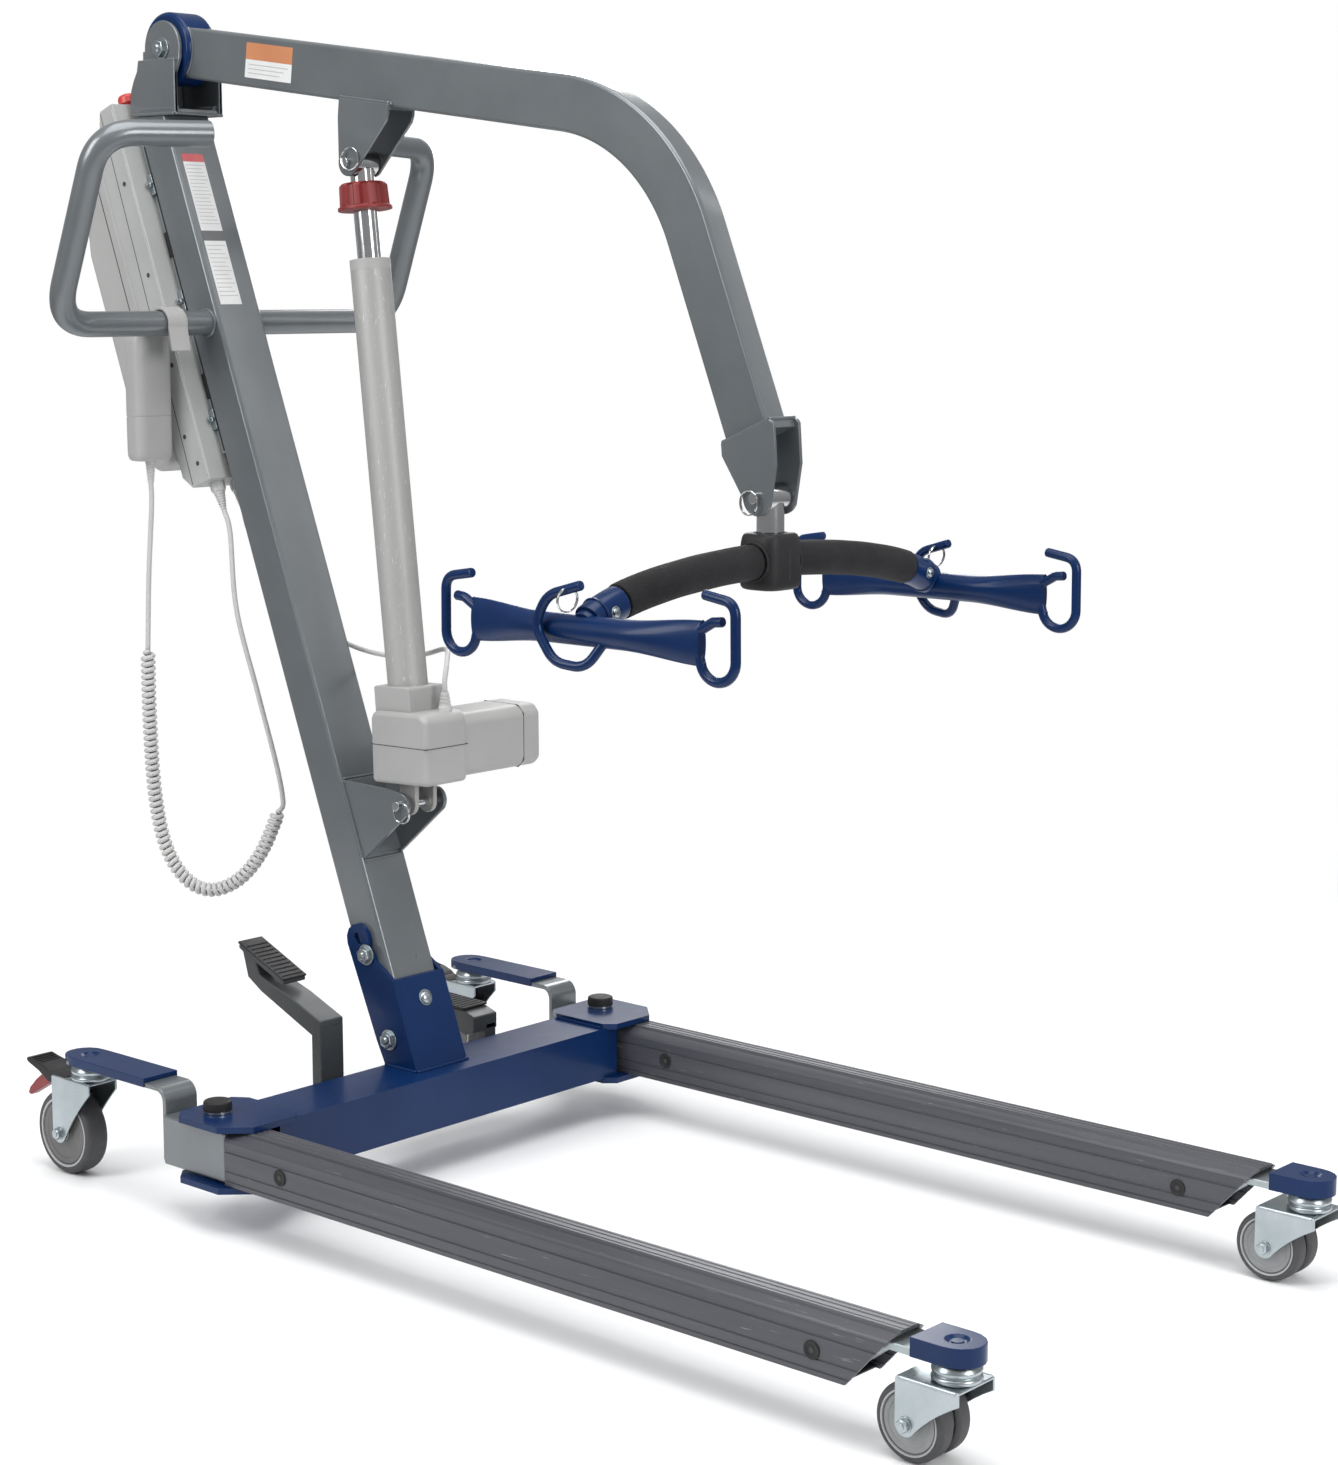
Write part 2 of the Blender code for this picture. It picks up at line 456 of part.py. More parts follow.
# ---- boom ---------------------------------------------------------------------------------------
def boom_outline(inset=0.0, cut_back=0.0):
    """Side outline of the boom tube: straight, bent down through 60 degrees, straight."""
    corner = Vector((-0.3814, 1.2052))
    d1 = (Vector((0.3665, 1.3065)) - corner).normalized()
    d2 = (Vector((-0.517, 0.876)) - corner).normalized()
    half = d1.angle(d2) / 2
    reach = BOOM_R / (sin(half) / cos(half))
    centre = corner + (d1 + d2).normalized() * (BOOM_R / sin(half))
    n1 = Vector((-d1.y, d1.x))
    if (centre - corner).dot(n1) < 0:
        n1 = -n1
    n2 = Vector((-d2.y, d2.x))
    if (centre - corner).dot(n2) < 0:
        n2 = -n2
    p1, p2 = corner + d1 * reach, corner + d2 * reach
    start, end = Vector((PIVOT_Y - 0.020 - cut_back, 0)), Vector((-0.514, 0.879)) - d2 * cut_back * 0.4
    start.y = corner.y + (start.x - corner.x) * d1.y / d1.x
    a0, a1 = atan2(-n1.y, -n1.x), atan2(-n2.y, -n2.x)
    if a1 < a0:
        a1 += 2 * pi
    steps = 10
    rows = {}
    for side in (-1, 1):
        h = side * (BOOM_H / 2 - inset)
        pts = [start + n1 * h]
        for i in range(steps + 1):
            t = a0 + (a1 - a0) * i / steps
            pts.append(centre + Vector((cos(t), sin(t))) * (BOOM_R - h))
        pts.append(end + n2 * h)
        rows[side] = pts
    return [(p.x, p.y) for p in rows[-1] + rows[1][::-1]]


def build_boom():
    w = BOOM_W / 2
    tube = prism("x", boom_outline(), -w, w)
    tube = boolean(tube, prism("x", boom_outline(0.003, 0.040), -w + 0.003, w - 0.003), "DIFFERENCE")
    hub = stack((-0.0228, PIVOT_Y, PIVOT_Z), (1, 0, 0),
                [(0, 0.041), (0.002, 0.0435), (0.0436, 0.0435), (0.0456, 0.041)], 24)
    parts = [tube, hub]
    web = [(0.0940, 1.2425), (0.0120, 1.2320), (0.0125, 1.2255), (0.0940, 1.2360)]
    parts.append(prism("x", web, -0.0215, 0.0215))
    tip_web = [(-0.4845, 0.8700), (-0.5470, 0.8955), (-0.5500, 0.8870), (-0.4880, 0.8615)]
    parts.append(prism("x", tip_web, -0.0225, 0.0225))
    for s in (-1, 1):
        ear = [(0.0940, 1.2425), (0.0120, 1.2320), (0.0135, 1.2180)]
        ear += arc(UP_Y, UP_Z, 0.0155, 215, 375, 8) + [(0.0965, 1.2200)]
        a, b = sorted((s * 0.0175, s * 0.0215))
        parts.append(prism("x", ear, a, b))
        tip = [(-0.4840, 0.8700), (-0.4855, 0.8540)] + arc(TIP_Y, TIP_Z, 0.0190, -5, -155, 8)[0:]
        tip += [(-0.5575, 0.8500), (-0.5540, 0.8940), (-0.5480, 0.8960)]
        a, b = sorted((s * 0.0180, s * 0.0225))
        parts.append(prism("x", tip, a, b))
    cuts = [rod((-0.05, PIVOT_Y, PIVOT_Z), (0.05, PIVOT_Y, PIVOT_Z), 0.0064, 16),
            rod((-0.05, TIP_Y, TIP_Z), (0.05, TIP_Y, TIP_Z), 0.0063, 14),
            rod((-0.05, UP_Y, UP_Z), (0.05, UP_Y, UP_Z), 0.0063, 14),
            rod((0, 0.250, 1.24), (0, 0.250, 1.29), 0.0045, 8)]
    solid("boom", GREY, parts, cuts, origin=(0, PIVOT_Y, PIVOT_Z))


# ---- actuator -----------------------------------------------------------------------------------
AX = Vector((0, UP_Y - LOW_Y, UP_Z - LOW_Z)).normalized()
FOOT = Vector((0, LOW_Y, LOW_Z))
LENGTH = hypot(UP_Y - LOW_Y, UP_Z - LOW_Z)


def along(t):
    return FOOT + AX * t


def build_actuator():
    tube = stack(along(0.110), AX, [(0, 0.0235), (0.5225, 0.0235)], 20)
    bore = stack(along(0.150), AX, [(0, 0.0148), (0.52, 0.0148)], 16)
    neck = [(0.034, 0.536), (-0.020, 0.542), (-0.016, 0.566), (0.048, 0.559)]
    block = prism("x", neck, -0.028, 0.028)
    case = [(0.042, 0.4540), (-0.052, 0.4580), (-0.052, 0.5360), (-0.040, 0.5430), (0.040, 0.5400), (0.044, 0.5300)]
    gear = prism("x", case, -0.036, 0.032)
    motor = [(0.030, 0.4680), (0.020, 0.4600), (-0.036, 0.4600), (-0.046, 0.4700), (-0.046, 0.5260),
             (-0.036, 0.5360), (0.020, 0.5360), (0.030, 0.5260)]
    barrel = prism("x", motor, 0.030, 0.160)
    parts = [tube, block, gear, barrel]
    for s in (-1, 1):
        lug = [(0.014, 0.4560), (-0.014, 0.4570)] + arc(LOW_Y, LOW_Z, 0.0135, 180, 360, 8)
        a, b = sorted((s * 0.0115, s * 0.0175))
        parts.append(prism("x", lug, a, b))
    gland = stack((0.012, -0.0345, 0.5400), (0, 0, 1),
                  [(0, 0.0085), (0.006, 0.0080), (0.018, 0.0050), (0.024, 0.0045)], 12)
    parts.append(gland)
    pin_hole = rod((-0.03, LOW_Y, LOW_Z), (0.03, LOW_Y, LOW_Z), 0.0063, 14)
    solid("actuator_body", CASE, parts, [bore, pin_hole], origin=tuple(FOOT))
    shaft = stack(along(0.200), AX, [(0, 0.0140), (LENGTH - 0.200 - 0.006, 0.0140)], 18)
    eye = rod((-0.0168, UP_Y, UP_Z), (0.0168, UP_Y, UP_Z), 0.0140, 18)
    solid("actuator_rod", CHROME, [shaft, eye], origin=tuple(along(0.200)))
    ring = stack(along(LENGTH - 0.0540), AX, [(0, 0.0315), (0.004, 0.0315), (0.0045, 0.0285), (0.031, 0.0270)], 20)
    hole = stack(along(LENGTH - 0.0700), AX, [(0, 0.0143), (0.06, 0.0143)], 18)
    solid("release_collar", RED, [ring], [hole], origin=tuple(along(LENGTH - 0.040)))
    pin = rod((-0.0385, LOW_Y, LOW_Z), (0.0345, LOW_Y, LOW_Z), 0.0060, 12)
    head = rod((0.0321, LOW_Y, LOW_Z), (0.0355, LOW_Y, LOW_Z), 0.0090, 12)
    tang = stack((-0.0365, LOW_Y - 0.010, LOW_Z - 0.008), (1, 0, 0), [(0, 0.0125), (0.0016, 0.0125)], 14)
    solid("actuator_foot_pin", CHROME, [pin, head, tang], origin=tuple(FOOT))


# ---- hanger -------------------------------------------------------------------------------------
HX, ARM = 0.280, 0.150


def hanger_z(x):
    """Height of the arched hanger bar's centre line; its ends drop into the cross arms."""
    return 0.750 - 0.41 * x * x - 0.0110 * (abs(x) / HX) ** 8


def build_hanger():
    yoke = rod((-0.0172, TIP_Y, TIP_Z), (0.0172, TIP_Y, TIP_Z), 0.0150, 18)
    stem = rod((0, TIP_Y, TIP_Z - 0.002), (0, TIP_Y, 0.7660), 0.0145, 16)
    foot = rod((0, TIP_Y, 0.7650), (0, TIP_Y, 0.7690), 0.0190, 16)
    hole = rod((-0.03, TIP_Y, TIP_Z), (0.03, TIP_Y, TIP_Z), 0.0063, 14)
    solid("hanger_yoke", CHROME, [yoke, stem, foot], [hole], origin=(0, TIP_Y, TIP_Z))
    pin = rod((-0.0295, TIP_Y, TIP_Z), (0.0270, TIP_Y, TIP_Z), 0.0060, 12)
    head = rod((0.0228, TIP_Y, TIP_Z), (0.0270, TIP_Y, TIP_Z), 0.0090, 12)
    ring = stack((-0.0275, TIP_Y + 0.006, TIP_Z - 0.004), (1, 0, 0), [(0, 0.0120), (0.0016, 0.0120)], 14)
    solid("hanger_pin", CHROME, [pin, head, ring], origin=(0, TIP_Y, TIP_Z))
    # black boot around the swivel, open round the stem and the bar
    block = prism("z", [(-0.028, TIP_Y - 0.018), (-0.018, TIP_Y - 0.026), (0.018, TIP_Y - 0.026),
                        (0.028, TIP_Y - 0.018), (0.028, TIP_Y + 0.018), (0.018, TIP_Y + 0.026),
                        (-0.018, TIP_Y + 0.026), (-0.028, TIP_Y + 0.018)], 0.720, 0.7785)
    well = rod((0, TIP_Y, 0.7646), (0, TIP_Y, 0.80), 0.0194, 16)
    lid = boolean(rod((0, TIP_Y, 0.7694), (0, TIP_Y, 0.7784), 0.0205, 16),
                  rod((0, TIP_Y, 0.74), (0, TIP_Y, 0.79), 0.0149, 16), "DIFFERENCE")
    n = 6
    arch = [(x, TIP_Y, hanger_z(x)) for x in [-0.030 + 0.060 * i / 2 for i in range(3)]]
    passage = sweep(arch, 0.0158, 12)
    body = boolean(boolean(block, well, "DIFFERENCE"), lid, "UNION")
    solid("hanger_boot", BLACK, [body], [passage], origin=(0, TIP_Y, 0.745))
    for s, side in ((-1, "right"), (1, "left")):
        xs = [s * (0.0293 + (0.2310 - 0.0293) * i / n) for i in range(n + 1)]
        grip = sweep([(x, TIP_Y, hanger_z(x)) for x in xs], GRIP_R, 12)
        xs2 = [s * (0.02 + (0.25 - 0.02) * i / (n + 1)) for i in range(n + 2)]
        core = sweep([(x, TIP_Y, hanger_z(x)) for x in xs2], 0.0146, 10)
        solid("hanger_grip_" + side, BLACK, [grip], [core], origin=(0, TIP_Y, 0.745))


def build_spreader():
    n = 13
    xs = [-HX + 2 * HX * i / n for i in range(n + 1)]
    bar = sweep([(x, TIP_Y, hanger_z(x)) for x in xs], 0.0138, 10)
    parts = [bar]
    for s in (-1, 1):
        x = s * HX
        z = 0.7020
        sleeve = sweep([(s * 0.2325, TIP_Y, hanger_z(0.2325)), (s * 0.256, TIP_Y, hanger_z(0.256)),
                        (x, TIP_Y, hanger_z(HX))], 0.0170, 12)
        parts.append(sleeve)
        ys = [TIP_Y + ARM * (-1 + 2 * i / 8) for i in range(9)]
        shape = []
        for y in ys:
            k = abs(y - TIP_Y) / ARM
            k = max(0.0, (k - 0.35) / 0.65)
            shape.append((1 + 0.45 * k, 1 - 0.60 * k))
        pts = [(x, y, z) for y in ys]
        parts.append(sweep(pts, 0.0150, 10, flat=shape))
        r = 0.0050
        for t in (-1, 1):
            ye = TIP_Y + t * ARM
            loop = [(x, ye - t * 0.004, z - 0.012), (x, ye + t * 0.008, z - 0.034),
                    (x, ye + t * 0.030, z - 0.034), (x, ye + t * 0.042, z - 0.010),
                    (x, ye + t * 0.040, z + 0.040), (x, ye + t * 0.002, z + 0.046)]
            parts.append(sweep(fillet(loop, 0.018, 2), r, 6))
            stub = [(x, ye - t * 0.006, z + 0.010), (x, ye + t * 0.014, z + 0.021), (x, ye + t * 0.026, z + 0.022)]
            parts.append(sweep(fillet(stub, 0.01, 1), r, 6))
        # centre loop welded across the outer side of the arm
        xo = x + s * 0.012
        loop = [(xo - s * 0.006, TIP_Y - 0.030, z - 0.010), (xo + s * 0.004, TIP_Y - 0.016, z - 0.034),
                (xo + s * 0.010, TIP_Y + 0.020, z - 0.030), (xo + s * 0.010, TIP_Y + 0.046, z + 0.004),
                (xo + s * 0.008, TIP_Y + 0.030, z + 0.034), (xo + s * 0.004, TIP_Y - 0.012, z + 0.046)]
        parts.append(sweep(fillet(loop, 0.018, 2), r, 6))
        screw = stack((x - s * 0.026, TIP_Y - 0.0150, hanger_z(0.254)), (0, -1, 0), [(0, 0.006), (0.0045, 0.005)], 8)
        parts.append(screw)
    solid("spreader_bar", NAVY, parts, origin=(0, TIP_Y, 0.745))


# ---- control box, battery and handset -----------------------------------------------------------
def plate(outline, x0, x1):
    """Prism across X from (height, distance behind the mast's rear face) points."""
    pts = [mast_pt(0, z, MAST_D / 2 + h) for z, h in outline]
    return prism("x", [(p.y, p.z) for p in pts], x0, x1)


def build_controls():
    rail = plate([(0.840, GAP), (1.215, GAP), (1.215, 0.0100), (0.840, 0.0100)], -0.030, 0.030)
    solid("box_mount", ZINC, [rail])
    front = plate([(0.812, 0.0103), (1.262, 0.0103), (1.262, 0.036), (1.215, 0.0600), (0.828, 0.0600), (0.812, 0.046)],
                  -0.058, 0.058)
    sock = mast_pt(-0.036, 0.8120, MAST_D / 2 + 0.0260)
    sock2 = mast_pt(-0.006, 0.8120, MAST_D / 2 + 0.0260)
    stop_at = mast_pt(-0.020, 1.2618, MAST_D / 2 + 0.024)
    stop_hole = stack(stop_at - LEAN * 0.018, LEAN, [(0, 0.0078), (0.036, 0.0078)], 12)
    solid("control_box", CASE, [front], [stop_hole])
    back = plate([(0.845, 0.0604), (1.205, 0.0604), (1.165, 0.118), (1.120, 0.130), (0.880, 0.130), (0.850, 0.110)],
                 -0.056, 0.056)
    solid("battery_pack", CASE, [back])
    solid("emergency_stop", RED, [stack(stop_at - LEAN * 0.0090, LEAN,
          [(0, 0.0074), (0.0150, 0.0074), (0.0151, 0.0120), (0.0250, 0.0120), (0.0275, 0.0100)], 16)],
          origin=tuple(stop_at))
    # handset hung behind the right-hand cross tube
    hx, hy = -0.094, 0.3640
    w, d = 0.0270, 0.0155
    sec = [(hx - w + 0.006, hy - d), (hx + w - 0.006, hy - d), (hx + w, hy - d + 0.006), (hx + w, hy + d - 0.006),
           (hx + w - 0.006, hy + d), (hx - w + 0.006, hy + d), (hx - w, hy + d - 0.006), (hx - w, hy - d + 0.006)]
    body = prism("z", sec, 0.8200, 0.9720)
    relief = stack((hx, hy, 0.8205), (0, 0, -1), [(0, 0.0060), (0.004, 0.0055), (0.027, 0.0036)], 10)
    wells = []
    for z in (0.930, 0.900):
        wells.append(rod((hx, hy + d - 0.0030, z), (hx, hy + d + 0.01, z), 0.0078, 14))
    solid("handset_body", CASE, [body, relief], wells)
    for name, z in (("button_up", 0.930), ("button_down", 0.900)):
        cap = stack((hx, hy + d - 0.0018, z), (0, 1, 0), [(0, 0.0075), (0.0030, 0.0075), (0.0038, 0.0065)], 14)
        solid(name, BLACK, [cap], origin=(hx, hy + d, z))
    cy, cz = 0.322, 0.985
    outline = [(cy - 0.0240, 0.9530), (cy - 0.0200, 0.9530)] + arc(cy, cz, TUBE_R + 0.0012, 195, 0, 8)
    outline += [(cy + 0.0162, 0.9723), (hy + 0.0100, 0.9723), (hy + 0.0100, 0.9770), (cy + 0.0205, 0.9770)]
    outline += arc(cy, cz, TUBE_R + 0.0050, 0, 195, 8)
    hook = prism("x", outline, hx - 0.014, hx + 0.014)
    solid("handset_hook", CASE, [hook])
    # plugs under the control box
    for name, at, r in (("handset_plug", sock, 0.0085), ("motor_plug", sock2, 0.0080)):
        solid(name, CASE, [stack(at - LEAN * GAP, -LEAN,
              [(0, r), (0.012, r), (0.014, r * 0.8), (0.034, 0.0040)], 12)])
    return hx, hy, sock, sock2


# ---- cords --------------------------------------------------------------------------------------
def smooth_route(points, step):
    """Points along a smooth curve through the route's own points, at an even spacing."""
    pts = [Vector(p) for p in points]
    ext = [2 * pts[0] - pts[1]] + pts + [2 * pts[-1] - pts[-2]]
    fine = []
    for i in range(1, len(ext) - 2):
        p0, p1, p2, p3 = ext[i - 1:i + 3]
        for k in range(24):
            t = k / 24
            fine.append(0.5 * (2 * p1 + (p2 - p0) * t + (2 * p0 - 5 * p1 + 4 * p2 - p3) * t * t
                               + (3 * p1 - p0 - 3 * p2 + p3) * t ** 3))
    fine.append(pts[-1])
    total = sum((fine[i + 1] - fine[i]).length for i in range(len(fine) - 1))
    n = max(4, round(total / step))
    out, run, want = [fine[0]], 0.0, total / n
    for i in range(len(fine) - 1):
        seg = (fine[i + 1] - fine[i]).length
        while seg > 0 and run + seg >= want * len(out) and len(out) < n:
            out.append(fine[i].lerp(fine[i + 1], (want * len(out) - run) / seg))
        run += seg
    out.append(fine[-1])
    return out


def cord(name, points, radius, step, res=2):
    curve = bpy.data.curves.new(name, "CURVE")
    curve.dimensions = "3D"
    curve.bevel_depth = radius
    curve.bevel_resolution = res
    curve.use_fill_caps = True
    route = smooth_route(points, step)
    line = curve.splines.new("POLY")
    line.points.add(len(route) - 1)
    for point, p in zip(line.points, route):
        point.co = (p.x, p.y, p.z, 1)
    curve.materials.append(CORD)
    ob = bpy.data.objects.new(name, curve)
    ob.location = (0, FRAME_Y, 0)
    bpy.context.scene.collection.objects.link(ob)


def build_cords(hx, hy, sock, sock2):
    def hang(t, z):
        return (hx + 0.54 * t, hy - 0.84 * t, z)
    end = sock - LEAN * 0.0348
    end2 = end - LEAN * 0.03
    coil_top, coil_end = hang(-0.010, 0.588), hang(0.152, 0.392)
    cord("handset_lead_upper", [(hx, hy, 0.7929), (hx, hy, 0.765), hang(-0.006, 0.68), coil_top], 0.0033, 0.0190)
    fall = Vector(hang(-0.010, 0.588)) - Vector(hang(-0.006, 0.68))
    top = Vector(coil_top) + fall.normalized() * 0.0004
    cord("handset_lead_coil", [top, hang(-0.010, 0.50), hang(-0.006, 0.41), hang(0.006, 0.345), hang(0.030, 0.305),
                               hang(0.062, 0.291), hang(0.098, 0.305), hang(0.128, 0.340), coil_end],
         0.0092, 0.021)
    leave = (Vector(coil_end) - Vector(hang(0.128, 0.340))).normalized()
    start = Vector(coil_end) + leave * 0.0012
    cord("handset_lead_lower", [start, start + leave * 0.012, hang(0.150, 0.450), hang(0.128, 0.540),
                                hang(0.104, 0.640), tuple(end2), tuple(end)], 0.0033, 0.0190)
    a = sock2 - LEAN * 0.0348
    cord("motor_cable", [a, a - LEAN * 0.03, (0.010, 0.275, 0.690), (0.040, 0.240, 0.630), (0.060, 0.190, 0.598),
                         (0.064, 0.120, 0.588), (0.058, 0.050, 0.596), (0.042, -0.005, 0.608),
                         (0.020, -0.030, 0.597), (0.012, -0.0345, 0.578), (0.012, -0.0345, 0.5652)], 0.0030, 0.0170)


build_base()
build_mast()
build_handles()
bolt("mast_bolt_upper", mast_y(0.247) + 0.001, 0.247, MAST_W / 2 + 0.006, 0.0050, 0.0085)
bolt("mast_bolt_lower", mast_y(0.150), 0.150, MAST_W / 2 + 0.006, 0.0050, 0.0085)
build_legs()
build_casters()
build_pedals()
build_boom()
bolt("boom_pivot_bolt", PIVOT_Y, PIVOT_Z, 0.0285, 0.0061, 0.0085)
build_actuator()
build_hanger()
build_spreader()
build_cords(*build_controls())
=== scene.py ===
"""Looks of the patient lift hoist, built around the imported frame.

Shapes are laid out with the leg pivot line at Y = 0 and shifted by FY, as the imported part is.
Metres, +Z up, legs to -Y. Side -1 is the carer's right, side +1 the left.
"""
import bpy
import bmesh
from math import sin, cos, pi, atan2, radians, hypot
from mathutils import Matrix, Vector, noise


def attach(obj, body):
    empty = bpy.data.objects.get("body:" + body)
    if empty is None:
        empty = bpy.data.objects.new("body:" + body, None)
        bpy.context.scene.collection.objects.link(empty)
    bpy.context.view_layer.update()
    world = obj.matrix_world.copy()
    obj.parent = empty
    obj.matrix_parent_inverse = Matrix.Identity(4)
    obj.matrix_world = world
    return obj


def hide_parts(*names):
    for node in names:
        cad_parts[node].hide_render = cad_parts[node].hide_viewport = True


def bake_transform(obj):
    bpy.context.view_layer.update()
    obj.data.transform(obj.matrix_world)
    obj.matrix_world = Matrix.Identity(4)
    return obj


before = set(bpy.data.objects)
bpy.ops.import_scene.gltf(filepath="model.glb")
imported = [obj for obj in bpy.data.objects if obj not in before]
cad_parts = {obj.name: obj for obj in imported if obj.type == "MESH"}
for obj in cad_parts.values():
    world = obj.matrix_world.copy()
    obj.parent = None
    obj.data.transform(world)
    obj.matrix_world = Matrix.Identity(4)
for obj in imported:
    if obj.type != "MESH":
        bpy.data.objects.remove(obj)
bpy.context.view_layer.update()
FY = 0.2529
SIDES = ((-1, "right"), (1, "left"))


# ================================ shader helpers =================================================
def add_node(tree, kind, values=None, **settings):
    """New shader node with its settings and the values of its inputs."""
    node = tree.nodes.new("ShaderNode" + kind)
    for key, value in settings.items():
        setattr(node, key, value)
    for key, value in (values or {}).items():
        node.inputs[key].default_value = value
    return node


def wire(tree, *pairs):
    for source, target in pairs:
        tree.links.new(source, target)


def colour_ramp(tree, source, stops):
    """Colour ramp over (position, colour) stops."""
    node = add_node(tree, "ValToRGB")
    marks = node.color_ramp.elements
    while len(marks) < len(stops):
        marks.new(0.5)
    for mark, (position, colour) in zip(marks, stops):
        mark.position = position
        mark.color = (*colour, 1)
    wire(tree, (source, node.inputs[0]))
    return node.outputs[0]


# ================================ camera, light and floor ========================================
LENS, CAMERA_AT, CAMERA_TURN = 69.673, (-2.2518, -2.1409, 1.0315), (81.01, 0, -48.38)
LAMPS = (  # name, place, aim, size, power
    ("overhead", (-0.4, -0.3, 3.4), (0, 0, 0.5), (2.6, 2.6), 78),
    ("key", (-2.6, 0.9, 2.2), (0, 0.1, 0.7), (1.2, 1.8), 50),
    ("streak", (1.6, -1.0, 1.9), (0, 0.5, 0.8), (0.1, 2.2), 3.5),
    ("front", (-0.2, -3.4, 1.7), (0, 0, 0.6), (1.0, 1.6), 52),
    ("rim", (2.4, 1.8, 1.9), (0, 0.2, 0.8), (1.0, 1.6), 26))
GLOW = 0.42                             # strength of the light from all around
FLOOR_HALF, FADE_FROM, FADE_TO = 3.4, 0.9, 2.6


def link_new(name, data):
    ob = bpy.data.objects.new(name, data)
    bpy.context.scene.collection.objects.link(ob)
    return ob


def camera_and_lamps():
    cam = link_new("camera", bpy.data.cameras.new("camera"))
    cam.location = CAMERA_AT
    cam.rotation_euler = [radians(a) for a in CAMERA_TURN]
    cam.data.sensor_width = 36
    cam.data.lens = LENS
    bpy.context.scene.camera = cam
    for name, at, aim, size, power in LAMPS:
        lamp = bpy.data.lights.new(name, "AREA")
        lamp.shape = "RECTANGLE"
        lamp.size, lamp.size_y = size
        lamp.energy = power
        ob = link_new(name, lamp)
        ob.location = at
        ob.rotation_euler = (Vector(aim) - Vector(at)).to_track_quat("-Z", "Y").to_euler()
        ob.visible_camera = False


def backdrop():
    """White where the camera sees it, a soft grey-to-white glow for everything else."""
    world = bpy.data.worlds.new("studio")
    world.use_nodes = True
    bpy.context.scene.world = world
    nt = world.node_tree
    nt.nodes.clear()
    out = add_node(nt, "OutputWorld")
    seen = add_node(nt, "Background", {0: (1, 1, 1, 1), 1: 1.0})
    glow = add_node(nt, "Background", {1: GLOW})
    coord = add_node(nt, "TexCoord")
    split = add_node(nt, "SeparateXYZ")
    half = add_node(nt, "Math", {1: 0.5, 2: 0.5}, operation="MULTIPLY_ADD")
    mix = add_node(nt, "MixShader")
    path = add_node(nt, "LightPath")
    sky = colour_ramp(nt, half.outputs[0], [(0.4, (0.62, 0.63, 0.65)), (0.8, (1, 1, 1))])
    wire(nt, (coord.outputs["Generated"], split.inputs[0]), (split.outputs["Z"], half.inputs[0]),
         (sky, glow.inputs[0]), (path.outputs["Is Camera Ray"], mix.inputs[0]),
         (glow.outputs[0], mix.inputs[1]), (seen.outputs[0], mix.inputs[2]), (mix.outputs[0], out.inputs[0]))


def pale_floor():
    """Pale floor that fades out into the plain backdrop with distance from the object."""
    me = bpy.data.meshes.new("floor")
    bm = bmesh.new()
    bmesh.ops.create_grid(bm, x_segments=8, y_segments=8, size=FLOOR_HALF)
    bm.to_mesh(me)
    bm.free()
    floor = link_new("floor", me)
    floor.location = (0, 0, -0.0004)
    m = bpy.data.materials.new("floor_pale")
    m.use_nodes = True
    nt = m.node_tree
    shader = nt.nodes["Principled BSDF"]
    shader.inputs["Base Color"].default_value = (0.93, 0.935, 0.94, 1)
    shader.inputs["Roughness"].default_value = 0.85
    coord = add_node(nt, "TexCoord")
    far = add_node(nt, "VectorMath", operation="LENGTH")
    fade = add_node(nt, "MapRange", {"From Min": FADE_FROM, "From Max": FADE_TO}, interpolation_type="SMOOTHSTEP")
    clear = add_node(nt, "BsdfTransparent")
    mix = add_node(nt, "MixShader")
    wire(nt, (coord.outputs["Object"], far.inputs[0]), (far.outputs["Value"], fade.inputs["Value"]),
         (fade.outputs[0], mix.inputs[0]), (shader.outputs[0], mix.inputs[1]), (clear.outputs[0], mix.inputs[2]),
         (mix.outputs[0], nt.nodes["Material Output"].inputs["Surface"]))
    me.materials.append(m)


camera_and_lamps()
backdrop()
pale_floor()
bpy.context.scene.view_settings.view_transform = "Standard"


